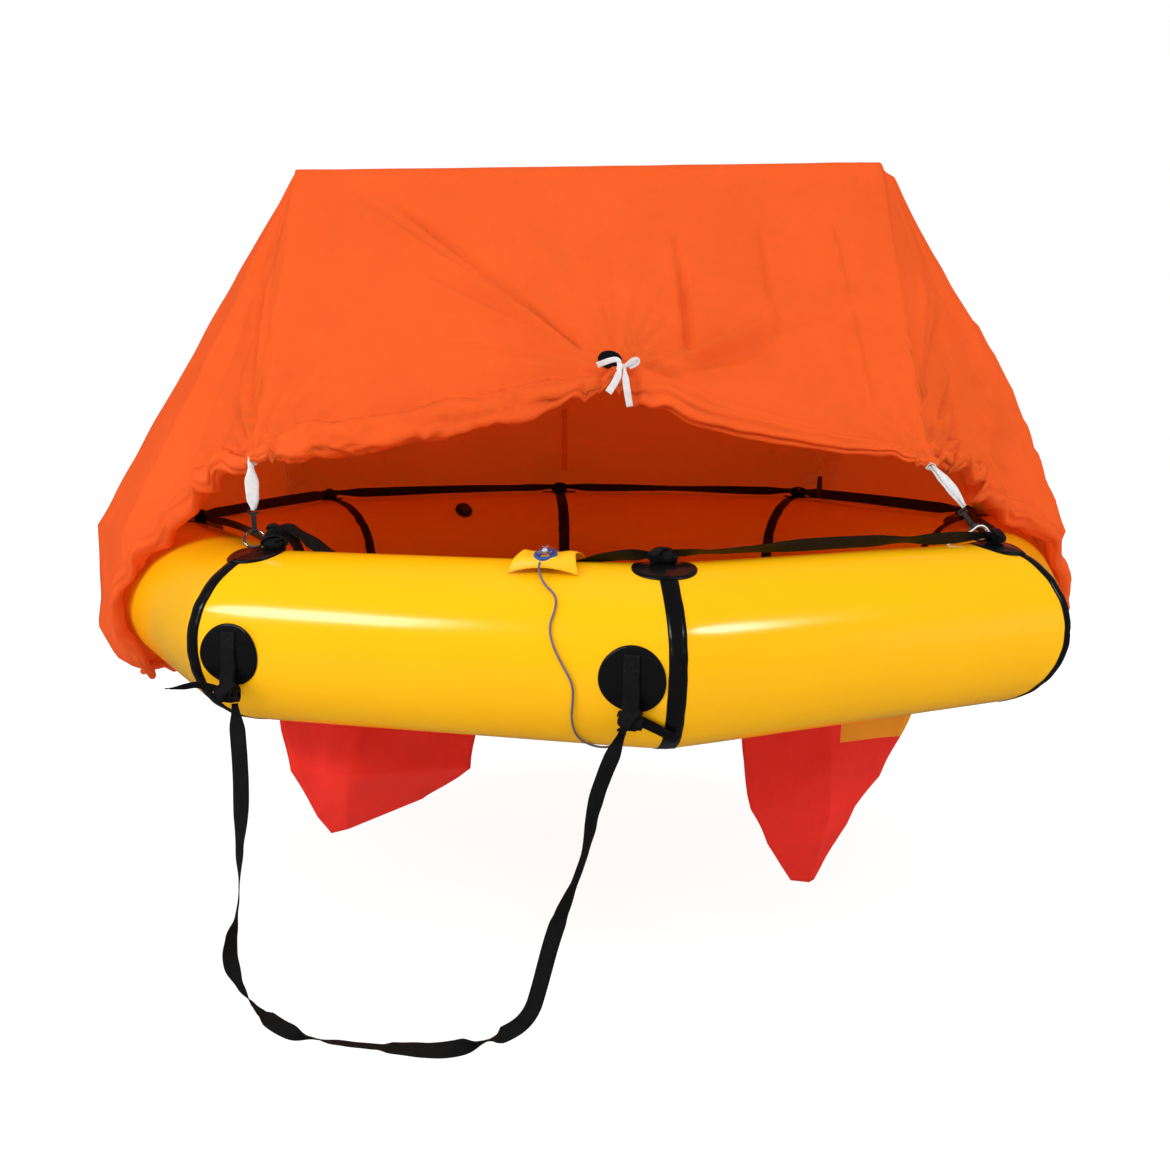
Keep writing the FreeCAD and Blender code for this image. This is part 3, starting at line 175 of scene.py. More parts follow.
def bandAlong(name, line, acrossAt, width, thick, material, crumple=0.0, widths=None):
    # woven band along a line; acrossAt(i, tangent) gives the direction of its width
    # widths: shares of the full width along the line, where the band is drawn together
    shape = [(-0.5, 0.0), (-0.46, 0.42), (-0.25, 0.5), (0.25, 0.5), (0.46, 0.42),
             (0.5, 0.0), (0.46, -0.42), (0.25, -0.5), (-0.25, -0.5), (-0.46, -0.42)]
    rows, runs = [], [0.0]
    for i, p in enumerate(line):
        tangent = (line[min(i + 1, len(line) - 1)] - line[max(i - 1, 0)]).normalized()
        wide = acrossAt(i, tangent)
        wide = (wide - tangent * wide.dot(tangent)).normalized()
        thin = tangent.cross(wide)
        if i:
            runs.append(runs[-1] + (p - line[i - 1]).length)
        wave = crumple * math.sin(runs[-1] * 160.0 + 0.7)
        row = []
        drawn = profileAt(widths, i / (len(line) - 1)) if widths else 1.0
        fold = math.sqrt(max(1.0 - drawn * drawn, 0.0)) * width * 0.16
        for u, v in shape:
            bunch = fold * math.cos(3 * math.pi * u)
            row.append(p + wide * (u * width * drawn)
                       + thin * (v * thick + bunch + wave * math.cos(u * math.pi) - wave * 0.5))
        rows.append(row)
    acrossUv = [(u + 0.5) * width for u, v in shape] + [0.0]
    piece = gridMesh(name, rows, material, wrapCols=True,
                     uvRows=lambda a, b: (runs[a], acrossUv[b] if b < len(shape) else 0.0))
    n = len(shape)
    return closeShell(piece, (range(n), [len(rows) * n - 1 - j for j in range(n)]))


def closeShell(piece, rings=(), facing=None, merge=0.0):
    # faces over the rings of vertices, and all faces turned outwards
    mesh = bmesh.new()
    mesh.from_mesh(piece.data)
    mesh.verts.ensure_lookup_table()
    for ring in rings:
        mesh.faces.new([mesh.verts[i] for i in ring])
    if merge:
        bmesh.ops.remove_doubles(mesh, verts=mesh.verts[:], dist=merge)
    bmesh.ops.recalc_face_normals(mesh, faces=mesh.faces[:])
    if facing is not None:
        outer = max(mesh.faces, key=lambda f: f.calc_center_median().dot(facing))
        if outer.normal.dot(facing) < 0:
            bmesh.ops.reverse_faces(mesh, faces=mesh.faces[:])
    mesh.to_mesh(piece.data)
    mesh.free()
    piece.data.polygons.foreach_set("use_smooth", [True] * len(piece.data.polygons))
    return piece


def profileAt(profile, share):
    # eased value at a share of the way, from (share, value) pairs
    for (a, first), (b, second) in zip(profile, profile[1:]):
        if share <= b:
            f = (share - a) / (b - a)
            return first + (second - first) * f * f * (3 - 2 * f)
    return profile[-1][1]


def joinPieces(name, pieces):
    target = pieces[0]
    with bpy.context.temp_override(active_object=target, selected_editable_objects=pieces, object=target):
        bpy.ops.object.join()
    target.name = name
    target.data.name = name
    return target


# shader groups
def groupSocket(tree, name, inOut, value=None):
    socket = tree.interface.new_socket(name=name, in_out=inOut, socket_type="NodeSocketFloat")
    if value is not None:
        socket.default_value = value
    return socket


def makeWebbingGroup():
    # ribs across the band and warp lines along it, both from the band's own UV in metres
    tree = bpy.data.node_groups.new("webbingWeave", "ShaderNodeTree")
    groupSocket(tree, "Rib Pitch", "INPUT", 0.0016)
    groupSocket(tree, "Height", "OUTPUT")
    groupSocket(tree, "Shade", "OUTPUT")
    nodes, links = tree.nodes, tree.links
    entry, outlet = nodes.new("NodeGroupInput"), nodes.new("NodeGroupOutput")
    uv = nodes.new("ShaderNodeUVMap")
    uv.uv_map = "UVMap"
    split = nodes.new("ShaderNodeSeparateXYZ")
    links.new(uv.outputs[0], split.inputs[0])

    def calc(operation, a, b=None):
        node = nodes.new("ShaderNodeMath")
        node.operation = operation
        for socket, value in zip(node.inputs, (a, b)):
            if value is None:
                continue
            if isinstance(value, (int, float)):
                socket.default_value = value
            else:
                links.new(value, socket)
        return node.outputs[0]
    turns = calc("DIVIDE", split.outputs[0], entry.outputs["Rib Pitch"])
    warps = calc("MULTIPLY", split.outputs[1], 900.0)
    zig = calc("PINGPONG", calc("MULTIPLY", split.outputs[1], 320.0), 1.0)
    rib = calc("SINE", calc("MULTIPLY", calc("ADD", turns, zig), 6.2832))
    warp = calc("SINE", calc("MULTIPLY", warps, 6.2832))
    height = calc("ADD", calc("MULTIPLY", rib, 0.7), calc("MULTIPLY", warp, 0.3))
    links.new(height, outlet.inputs["Height"])
    grime = nodes.new("ShaderNodeTexNoise")
    grime.inputs["Scale"].default_value = 90.0
    coord = nodes.new("ShaderNodeTexCoord")
    links.new(coord.outputs["Object"], grime.inputs["Vector"])
    # Shade: the rib and warp height as painted shade, darker in the grooves and lighter on the rib tops,
    # mixed with random grime noise
    links.new(calc("ADD", calc("MULTIPLY", height, 0.18), calc("MULTIPLY", grime.outputs["Fac"], 0.5)),
              outlet.inputs["Shade"])
    return tree


def makeWrinkleGroup():
    # soft unevenness of thin cloth at two scales, and a fine weave
    tree = bpy.data.node_groups.new("clothWrinkle", "ShaderNodeTree")
    groupSocket(tree, "Large", "INPUT", 6.0)
    groupSocket(tree, "Fine", "INPUT", 60.0)
    groupSocket(tree, "Weave", "INPUT", 1400.0)
    groupSocket(tree, "Height", "OUTPUT")
    groupSocket(tree, "Tone", "OUTPUT")
    nodes, links = tree.nodes, tree.links
    entry, outlet = nodes.new("NodeGroupInput"), nodes.new("NodeGroupOutput")
    coord = nodes.new("ShaderNodeTexCoord")

    def noiseAt(socket, detail, distortion=0.0):
        node = nodes.new("ShaderNodeTexNoise")
        node.inputs["Detail"].default_value = detail
        node.inputs["Distortion"].default_value = distortion
        links.new(coord.outputs["Object"], node.inputs["Vector"])
        links.new(entry.outputs[socket], node.inputs["Scale"])
        return node.outputs["Fac"]

    def mixed(a, b, share):
        node = nodes.new("ShaderNodeMix")
        node.data_type = "FLOAT"
        node.inputs[0].default_value = share
        links.new(a, node.inputs[2])
        links.new(b, node.inputs[3])
        return node.outputs[0]
    large = noiseAt("Large", 4.0, 0.6)
    fine = noiseAt("Fine", 6.0, 0.2)
    weave = noiseAt("Weave", 1.0)
    links.new(mixed(mixed(large, fine, 0.16), weave, 0.03), outlet.inputs["Height"])
    links.new(mixed(large, fine, 0.35), outlet.inputs["Tone"])
    return tree


webbingGroup = makeWebbingGroup()
wrinkleGroup = makeWrinkleGroup()


def newMaterial(name, color, roughness, **settings):
    material = bpy.data.materials.new(name)
    material.use_nodes = True
    shader = material.node_tree.nodes["Principled BSDF"]
    shader.inputs["Base Color"].default_value = (*color, 1.0)
    shader.inputs["Roughness"].default_value = roughness
    for key, value in settings.items():
        shader.inputs[key].default_value = value
    material.diffuse_color = (*color, 1.0)
    return material, material.node_tree.nodes, material.node_tree.links, shader


def toneRamp(nodes, links, fac, dark, light, low=0.3, high=0.7):
    ramp = nodes.new("ShaderNodeValToRGB")
    ramp.color_ramp.elements[0].position = low
    ramp.color_ramp.elements[0].color = (*dark, 1.0)
    ramp.color_ramp.elements[1].position = high
    ramp.color_ramp.elements[1].color = (*light, 1.0)
    links.new(fac, ramp.inputs[0])
    return ramp.outputs[0]


def bumpFrom(nodes, links, height, shader, strength, distance):
    bump = nodes.new("ShaderNodeBump")
    bump.inputs["Strength"].default_value = strength
    bump.inputs["Distance"].default_value = distance
    links.new(height, bump.inputs["Height"])
    links.new(bump.outputs[0], shader.inputs["Normal"])
    return bump


def scaled(color, factor):
    return tuple(c * factor for c in color)


def coatedCloth(name, color, roughness, scales, bump, spread=0.07, **settings):
    material, nodes, links, shader = newMaterial(name, color, roughness, **settings)
    group = nodes.new("ShaderNodeGroup")
    group.node_tree = wrinkleGroup
    for key, value in zip(("Large", "Fine", "Weave"), scales):
        group.inputs[key].default_value = value
    links.new(toneRamp(nodes, links, group.outputs["Tone"], scaled(color, 1 - spread),
                       scaled(color, 1 + spread)), shader.inputs["Base Color"])
    bumpFrom(nodes, links, group.outputs["Height"], shader, bump[0], bump[1])
    return material


def webbing(name, color, roughness, pitch=0.0016, depth=0.0005):
    material, nodes, links, shader = newMaterial(name, color, roughness)
    shader.inputs["Specular IOR Level"].default_value = 0.28
    group = nodes.new("ShaderNodeGroup")
    group.node_tree = webbingGroup
    group.inputs["Rib Pitch"].default_value = pitch
    # the colour runs from painted shade in the rib grooves to a painted highlight on the rib tops, mixed with
    # random grime
    light = scaled(color, 2.2) if color[0] < 0.1 else scaled(color, 1.08)
    links.new(toneRamp(nodes, links, group.outputs["Shade"], scaled(color, 0.75), light, 0.05, 0.55),
              shader.inputs["Base Color"])
    bumpFrom(nodes, links, group.outputs["Height"], shader, 0.8, depth)
    return material


def canopyCloth(name, outside, inside, share):
    # thin cloth: plain shading outside, and light coming through it
    material, nodes, links, shader = newMaterial(name, outside, 0.55, **{"Specular IOR Level": 0.22})
    group = nodes.new("ShaderNodeGroup")
    group.node_tree = wrinkleGroup
    group.inputs["Large"].default_value = 5.0
    group.inputs["Fine"].default_value = 45.0
    group.inputs["Weave"].default_value = 1500.0
    color = toneRamp(nodes, links, group.outputs["Tone"], scaled(outside, 0.93), scaled(outside, 1.05))
    links.new(color, shader.inputs["Base Color"])
    # upright crinkle of the cloth added to the soft unevenness
    coord = nodes.new("ShaderNodeTexCoord")
    stretch = nodes.new("ShaderNodeVectorMath")
    stretch.operation = "MULTIPLY"
    stretch.inputs[1].default_value = (120.0, 120.0, 9.0)
    links.new(coord.outputs["Object"], stretch.inputs[0])
    crinkle = nodes.new("ShaderNodeTexNoise")
    crinkle.inputs["Scale"].default_value = 1.0
    crinkle.inputs["Detail"].default_value = 3.0
    links.new(stretch.outputs[0], crinkle.inputs["Vector"])
    both = nodes.new("ShaderNodeMix")
    both.data_type = "FLOAT"
    both.inputs[0].default_value = 0.1
    links.new(group.outputs["Height"], both.inputs[2])
    links.new(crinkle.outputs["Fac"], both.inputs[3])
    bump = bumpFrom(nodes, links, both.outputs[0], shader, 0.6, 0.01)
    through = nodes.new("ShaderNodeBsdfTranslucent")
    through.inputs["Color"].default_value = (*inside, 1.0)
    links.new(bump.outputs[0], through.inputs["Normal"])
    mix = nodes.new("ShaderNodeMixShader")
    mix.inputs[0].default_value = share
    links.new(shader.outputs[0], mix.inputs[1])
    links.new(through.outputs[0], mix.inputs[2])
    links.new(mix.outputs[0], nodes["Material Output"].inputs["Surface"])
    return material


colors = {"yellow": (0.94, 0.47, 0.003), "orange": (0.96, 0.165, 0.026), "black": (0.004, 0.004, 0.0045),
          "red": (0.96, 0.036, 0.022), "white": (0.82, 0.82, 0.83), "floor": (0.86, 0.3, 0.04)}
finish = {
    "tube": coatedCloth("tubeCloth", colors["yellow"], 0.16, (3.0, 30.0, 900.0), (0.08, 0.004), 0.025,
                        **{"Specular IOR Level": 0.4}),
    "flap": coatedCloth("flapCloth", colors["yellow"], 0.42, (14.0, 80.0, 900.0), (0.4, 0.004), 0.05),
    "tape": coatedCloth("seamTape", colors["black"], 0.22, (9.0, 120.0, 1600.0), (0.5, 0.003), 0.2,
                        **{"Specular IOR Level": 0.3}),
    "patch": coatedCloth("blackPatch", colors["black"], 0.24, (12.0, 90.0, 1600.0), (0.6, 0.005), 0.2,
                         **{"Specular IOR Level": 0.3}),
    "webbing": webbing("blackWebbing", (0.0045, 0.0045, 0.005), 0.6),
    "ribbon": webbing("whiteTape", colors["white"], 0.75, 0.0011, 0.0002),
    "canopy": canopyCloth("canopyCloth", colors["orange"], (1.0, 0.4, 0.11), 0.46),
    "orangeTape": webbing("orangeTape", (0.95, 0.33, 0.05), 0.7, 0.0014, 0.0002),
    "bag": canopyCloth("ballastCloth", colors["red"], (1.0, 0.05, 0.03), 0.3),
    "bagUpper": canopyCloth("ballastUpperCloth", (0.95, 0.4, 0.02), (1.0, 0.35, 0.03), 0.3),
    "floor": coatedCloth("floorCloth", colors["floor"], 0.5, (6.0, 50.0, 1200.0), (0.4, 0.006), 0.05),
    "cord": newMaterial("whiteCord", (0.8, 0.8, 0.78), 0.7)[0],
    "thread": newMaterial("blackThread", (0.03, 0.03, 0.032), 0.5)[0],
    "orangeThread": newMaterial("orangeThread", (0.75, 0.1, 0.02), 0.6)[0],
}
print("materials built")


# boarding strap and light wire
strapSizes = {"width": 0.025, "thick": 0.0016, "steps": 260}
strapRoute = [(-.6534, -.7600, .0550), (-.6488, -.7619, -.003), (-.647, -.7627, -.098),
              (-.6553, -.7592, -.193), (-.6571, -.7585, -.273), (-.6737, -.7516, -.328),
              (-.6774, -.750, -.378), (-.646, -.7631, -.436), (-.5961, -.7837, -.473),
              (-.5426, -.8059, -.481), (-.4733, -.8346, -.481), (-.4021, -.8641, -.475),
              (-.3375, -.8909, -.470), (-.2793, -.915, -.446), (-.2303, -.9353, -.420),
              (-.2035, -.9464, -.388), (-.1915, -.9513, -.343), (-.173, -.959, -.264),
              (-.1536, -.967, -.206), (-.1351, -.9747, -.160), (-.1213, -.9804, -.108),
              (-.1176, -.9819, -.073), (-.1046, -.9873, -.018), (-.0754, -.9994, .0550)]
strapTurns = [(0.0, -20), (0.1, -20), (0.16, 30), (0.2, 58), (0.232, 70), (0.26, 110), (0.285, 135),
              (0.32, 205), (0.345, 246), (0.356, 262), (0.37, 320), (0.39, 335), (0.42, 413), (0.45, 440),
              (0.5, 443), (0.515, 468), (0.55, 487), (0.59, 520), (0.62, 602), (0.632, 623), (0.645, 692),
              (0.7, 720), (0.78, 728), (0.8, 765), (0.84, 794), (0.87, 796), (0.9, 777), (0.93, 757),
              (1.0, 745)]


def turnAt(turns, share):
    return math.radians(profileAt(turns, share))


def makeStrap():
    line = splinePoints(strapRoute, strapSizes["steps"])
    facing = Vector((0.375, 0.927, 0.0))

    def across(i, tangent):
        flat = tangent.cross(facing).normalized()
        return Matrix.Rotation(turnAt(strapTurns, i / strapSizes["steps"]), 3, tangent) @ flat
    strap = bandAlong("boarding_strap", line, across, strapSizes["width"], strapSizes["thick"],
                      finish["webbing"], crumple=0.0004,
                      widths=((0.0, 0.42), (0.03, 1.0), (0.97, 1.0), (1.0, 0.45)))
    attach(strap, "raft")
    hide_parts("boarding_strap")


wireSizes = {"diameter": 0.0035}
wireRoute = [(-.1839, -.8700, .2846), (-.1885, -.8811, .2776), (-.1799, -.8942, .2550),
             (-.1635, -.9174, .2418), (-.1655, -.9325, .2246), (-.1764, -.9432, .2008),
             (-.1725, -.9547, .1748), (-.1593, -.9646, .1475), (-.144, -.9696, .1200),
             (-.1434, -.9629, .0931), (-.1446, -.9501, .068), (-.1403, -.9345, .0456),
             (-.1308, -.9168, .0266), (-.1126, -.8991, .0117), (-.0917, -.880, .0016),
             (-.074, -.8579, -.0034), (-.0615, -.8331, -.0040), (-.0485, -.8017, -.0071)]


def makeWire():
    curve = bpy.data.curves.new("light_wire", "CURVE")
    curve.dimensions = "3D"
    spline = curve.splines.new("NURBS")
    spline.points.add(len(wireRoute) - 1)
    for point, p in zip(spline.points, wireRoute):
        point.co = (*p, 1.0)
    spline.order_u = 3
    spline.use_endpoint_u = True
    curve.resolution_u = 10
    curve.bevel_depth = wireSizes["diameter"] / 2
    curve.bevel_resolution = 4
    curve.use_fill_caps = True
    wire = bpy.data.objects.new("light_wire", curve)
    scene.collection.objects.link(wire)
    material, nodes, links, shader = newMaterial("wireSheath", (0.13, 0.1, 0.16), 0.38)
    bumpNoise = nodes.new("ShaderNodeTexNoise")
    bumpNoise.inputs["Scale"].default_value = 300.0
    coord = nodes.new("ShaderNodeTexCoord")
    links.new(coord.outputs["Object"], bumpNoise.inputs["Vector"])
    links.new(toneRamp(nodes, links, bumpNoise.outputs["Fac"], (0.11, 0.085, 0.14), (0.16, 0.13, 0.2)),
              shader.inputs["Base Color"])
    bumpFrom(nodes, links, bumpNoise.outputs["Fac"], shader, 0.2, 0.0005)
    curve.materials.append(material)
    line = splinePoints(wireRoute, 120)
    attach(wire, "raft")
    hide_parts("light_wire")


makeStrap()
makeWire()
print("cords built")


# inflated ring: eight mitred lengths, puckered where the seams draw the cloth in
ringSizes = {"lengthSteps": 30, "sectionSteps": 96, "pucker": 0.0016, "innerPucker": 0.0045, "reach": 0.05}


def mitreRun(angle):
    return halfSide + raft["tubeRadius"] * math.cos(math.radians(angle)) * math.tan(math.pi / 8)


def puckerAt(corner, away, angle):
    # how far the cloth is drawn in at a distance from the seam
    a = math.radians(angle)
    inner = max(0.0, -math.cos(a)) ** 1.5
    depth = ringSizes["pucker"] + (ringSizes["innerPucker"] - ringSizes["pucker"]) * inner
    folds = 0.5 + 0.5 * math.sin(23.0 * a + 1.7 * corner + 1.2 * math.sin(3 * a + corner))
    folds *= 0.6 + 0.4 * math.sin(9.0 * a + 2.3 * corner)
    clear = abs(math.sin(a)) if math.sin(a) < 0 else 1.0
    top = math.exp(-((math.degrees(a) - 90.0) / 24.0) ** 2)
    near = math.exp(-(away / ringSizes["reach"]) ** 2)
    edge = 0.0014 * math.exp(-(away / 0.012) ** 2)
    return -(depth * max(folds, 0.0) * near * (1 - top) + edge * (1 - 0.6 * top)) * (0.5 + 0.5 * clear)


def skinPoint(side, run, angle, lift=0.0):
    limit = mitreRun(angle)
    left = puckerAt(side, run + limit, angle)
    right = puckerAt((side + 1) % 8, limit - run, angle)
    return onTube(side, run, angle, lift + left + right)


def makeRing():
    steps, around = ringSizes["lengthSteps"], ringSizes["sectionSteps"]
    rows, runs = [], []
    for side in range(8):
        for i in range(steps):
            t = 2.0 * i / steps - 1.0
            t = t * (1.35 - 0.35 * t * t) if abs(t) < 1 else t
            row = []
            for j in range(around):
                angle = 360.0 * j / around
                row.append(skinPoint(side, t * mitreRun(angle), angle))
            rows.append(row)
            runs.append((side * 2 + t + 1) * halfSide)
    tube = gridMesh("buoyancy_tube", rows, finish["tube"], wrapRows=True, wrapCols=True,
                    uvRows=lambda a, b: (runs[a % len(rows)] + (16 * halfSide if a == len(rows) else 0.0),
                                         b * 0.8796 / around))
    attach(tube, "raft")
    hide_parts("buoyancy_tube")
    for corner, name in enumerate(cornerNames):
        makeSeamTape(corner, name)


def makeSeamTape(corner, name):
    half = raft["tapeWidth"] / 2
    lift = raft["tapeLift"]
    marks = [(-half, 0.0), (-half + 0.0006, lift), (-half * 0.5, lift), (0.0, lift * 1.05),
             (half * 0.5, lift), (half - 0.0006, lift), (half, 0.0)]
    around = 120
    rows = []
    for offset, up in marks:
        row = []
        for j in range(around):
            angle = 360.0 * j / around
            waver = 0.0007 * math.sin(math.radians(angle) * 5 + corner * 1.3)
            place = offset + waver
            if place <= 0:
                row.append(skinPoint((corner - 1) % 8, mitreRun(angle) + place, angle, up))
            else:
                row.append(skinPoint(corner, -mitreRun(angle) + place, angle, up))
        rows.append(row)
    tape = gridMesh("seam_tape_" + name, rows, finish["tape"], wrapCols=True,
                    uvRows=lambda a, b: (b * 0.8796 / around, marks[a][0]))
    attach(tape, "raft")
    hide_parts("seam_tape_" + name)


makeRing()
print("ring and seam tapes built")


# canopy: one cloth from the ridge to the rolled door and the gathered skirt
canopySizes = {"ridgeLeft": -0.615, "ridgeRight": 0.605, "riseLeft": 0.714, "riseRight": 0.755,
               "archRadius": 0.042, "archGap": 0.005, "archFoot": 0.05, "skirtOut": 0.155, "eaveDrop": 0.009,
               "doorLeft": (222.0, -0.008, 0.143), "doorRight": (315.1, -0.112, 0.13),
               "doorTop": (-0.02, -0.433, 0.27), "hemRoll": 0.008,
               "doorColumns": 190, "freeColumns": 50, "cornerColumn": 58, "fanColumns": 84, "backColumns": 80,
               "twists": ((60.0, 140.0, 0.42, 13.0), (128.0, 110.0, 0.36, 10.0), (196.0, 60.0, 0.4, 12.0),
                          (158.0, 150.0, 0.22, 7.0)),
               "arcRows": 6, "panelRows": 50, "skirtRows": 24, "rollRows": 24, "thickness": 0.0009}
# half thickness of the rolled door by share from left to right, and of the free edges from the door down
doorRadius = ((0.0, 0.009), (0.03, 0.018), (0.08, 0.029), (0.25, 0.033), (0.4, 0.03), (0.47, 0.02),
              (0.508, 0.011), (0.525, 0.016), (0.55, 0.031), (0.62, 0.033), (0.72, 0.026), (0.88, 0.018),
              (1.0, 0.01))
freeRadius = ((0.0, 0.009), (0.1, 0.017), (0.3, 0.024), (0.55, 0.021), (0.75, 0.017), (0.9, 0.015),
              (1.0, 0.01))
# how far the right end billows past its straight lines, by share from the apex to the eave
billow = ((0.0, 0.0), (0.05, 0.006), (0.1, 0.019), (0.44, 0.021), (0.475, 0.023), (0.5, 0.031), (0.56, 0.036),
          (0.63, 0.04), (0.72, 0.033), (0.82, 0.022), (0.92, 0.01), (1.0, 0.0))


def ridgeHeight(x):
    c = canopySizes
    share = (x - c["ridgeLeft"]) / (c["ridgeRight"] - c["ridgeLeft"])
    return tubeTop + c["riseLeft"] + share * (c["riseRight"] - c["riseLeft"])


def skirtPoint(angle, out, z):
    turn = (angle + 90.0) % 45.0 - 22.5
    return polar(angle, (apothem + out) / math.cos(math.radians(turn)), z)


def archLine():
    c = canopySizes
    inset = c["archRadius"] + c["archGap"]
    footOut, footZ = raft["ringRadius"] + c["archFoot"], tubeTop - c["archRadius"]
    points = []
    for x, sign in ((c["ridgeLeft"], -1), (c["ridgeRight"], 1)):
        lean = math.atan2(footOut - abs(x), ridgeHeight(x) - footZ)
        inboard = inset * math.tan((math.pi / 2 - lean) / 2)
        points.append([Vector((sign * footOut, 0, footZ)),
                       Vector((x - sign * inboard, 0, ridgeHeight(x) - inset))])
    return [points[0][0], points[0][1], points[1][1], points[1][0]]


def doorCorner(door):
    return polar(door[0], raft["ringRadius"] + door[1], tubeTop + door[2])


def doorEdge(share):
    x0, y0, rise = canopySizes["doorTop"]
    top = Vector((x0, y0, tubeTop + rise))
    left, right = doorCorner(canopySizes["doorLeft"]), doorCorner(canopySizes["doorRight"])
    x = left.x + share * (right.x - left.x)
    if x < top.x:
        f, corner = (x - left.x) / (top.x - left.x), left
        lift = f * f
    else:
        f, corner = (right.x - x) / (right.x - top.x), right
        lift = 0.6 * f + 0.4 * f ** 8
    return Vector((x, corner.y + (top.y - corner.y) * lift, corner.z + (top.z - corner.z) * lift))


def freeEdge(share, door, endAngle):
    start = doorCorner(door)
    angle = door[0] + share * (endAngle - door[0])
    if door[0] < 270:
        stations = ((0.0, None, start.z), (0.32, 0.3, 0.345), (0.6, 0.72, 0.256), (0.72, 0.96, 0.208),
                    (0.84, 1.05, 0.144), (0.92, 1.02, 0.078), (1.0, 0.7, 0.018))
    else:
        stations = ((0.0, None, start.z), (0.35, -0.16, tubeTop + 0.06), (0.6, 0.4, tubeTop - 0.002),
                    (0.7, 0.74, 0.244), (0.8, 0.97, raft["tubeRadius"] + 0.034), (0.9, 0.99, 0.1),
                    (1.0, 0.74, 0.03))
    flat = math.hypot(start.x, start.y)
    for (a, outA, zA), (b, outB, zB) in zip(stations, stations[1:]):
        if share <= b:
            f = (share - a) / (b - a)
            base = skirtPoint(angle, 0.0, 0.0)
            radius = math.hypot(base.x, base.y)
            first = flat - radius if outA is None else outA * raft["tubeRadius"]
            return polar(angle, radius + first + f * (outB * raft["tubeRadius"] - first), zA + f * (zB - zA))
    return start


def skirtLine(angle):
    # close to the tube at the right end, short at the left front
    near = 0.0
    if angle > 300.0 or angle < 60.0:
        near = math.exp(-(((angle - 355.0) % 360.0 if angle > 300.0 else angle + 5.0) / 26.0) ** 2)
    short = math.exp(-((angle - 192.0) / 16.0) ** 2)
    full = canopySizes["skirtOut"] - 0.01 * near
    r = raft["tubeRadius"]
    shape = ((full, tubeTop - canopySizes["eaveDrop"]), (full, r - 0.019), (full + 0.006, 0.06),
             (full - 0.021, -0.005 + 0.01 * short), (full - 0.041, -0.029 + 0.026 * short),
             (full - 0.095 + 0.03 * short, -0.038 + 0.03 * short))
    return [skirtPoint(angle, out, z) for out, z in shape]


def ridgeArc(x, target):
    c = canopySizes
    radius = c["archRadius"] + c["archGap"]
    top = ridgeHeight(x)
    forward = -1 if target.y < 0 else 1
    turn = math.pi / 4
    for _ in range(6):
        away = abs(target.y) - radius * math.sin(turn)
        turn = math.atan2(top - radius * (1 - math.cos(turn)) - target.z, away)
    steps = c["arcRows"]
    return [Vector((x, forward * radius * math.sin(turn * k / steps),
                    top - radius * (1 - math.cos(turn * k / steps)))) for k in range(steps + 1)]


def fromApex(apex, end):
    c = canopySizes
    step = (end - apex).normalized() * 0.008
    near = [apex + step * k for k in range(c["arcRows"])]
    return near + evenPoints([apex + step * c["arcRows"], end], c["panelRows"])


def fanColumn(apex, door, k, ends):
    c = canopySizes
    freeEnd, corner, back = ends
    if k <= c["freeColumns"]:
        drop = k / c["freeColumns"]
        edge = freeEdge(drop, door, freeEnd)
        lower = skirtLine(door[0] + drop * (freeEnd - door[0]))
        level = min((apex.z - lower[0].z) / (apex.z - edge.z), 0.85)
        straight = apex.lerp(edge, level)
        shoulder = straight + (lower[0] - straight) * min(max(drop - 0.6, 0.0) / 0.2, 1.0)
        below = [shoulder] + [p for p in lower[1:3] if p.z > edge.z + 0.02]
        below.append(edge + (below[-1] - edge).normalized() * profileAt(freeRadius, drop))
        return fromApex(apex, shoulder) + evenPoints(below, c["skirtRows"])[1:]
    if k <= c["cornerColumn"]:
        angle = freeEnd + (corner - freeEnd) * (k - c["freeColumns"]) / (c["cornerColumn"] - c["freeColumns"])
    else:
        angle = corner + (back - corner) * (k - c["cornerColumn"]) / (c["fanColumns"] - c["cornerColumn"])
    lower = skirtLine(angle)
    return fromApex(apex, lower[0]) + evenPoints(lower, c["skirtRows"])[1:]


def canopyColumns():
    # each column with its zone and its share of the zone
    c = canopySizes
    columns = []
    ends = [Vector((x, 0, ridgeHeight(x))) for x in (c["ridgeLeft"], c["ridgeRight"])]
    for j in range(c["doorColumns"] + 1):
        share = j / c["doorColumns"]
        x = c["ridgeLeft"] + share * (c["ridgeRight"] - c["ridgeLeft"])
        edge = doorEdge(share)
        arc = ridgeArc(x, edge)
        down = (edge - arc[-1]).normalized()
        panel = evenPoints([arc[-1], edge - down * profileAt(doorRadius, share)],
                           c["panelRows"] + c["skirtRows"])
        columns.append((arc[:-1] + panel, "door", share))
    for k in range(1, c["fanColumns"]):
        columns.append((fanColumn(ends[1], c["doorRight"], k, (348.0, 360.0, 405.0)), "right",
                        k / c["fanColumns"]))
    for j in range(c["backColumns"], -1, -1):
        share = j / c["backColumns"]
        x = c["ridgeLeft"] + share * (c["ridgeRight"] - c["ridgeLeft"])
        lower = skirtLine(135.0 - 90.0 * share)
        arc = ridgeArc(x, lower[0])
        columns.append((arc[:-1] + evenPoints([arc[-1], lower[0]], c["panelRows"])
                        + evenPoints(lower, c["skirtRows"])[1:], "back", share))
    for k in range(c["fanColumns"] - 1, 0, -1):
        columns.append((fanColumn(ends[0], c["doorLeft"], k, (190.0, 180.0, 135.0)), "left",
                        k / c["fanColumns"]))
    return columns


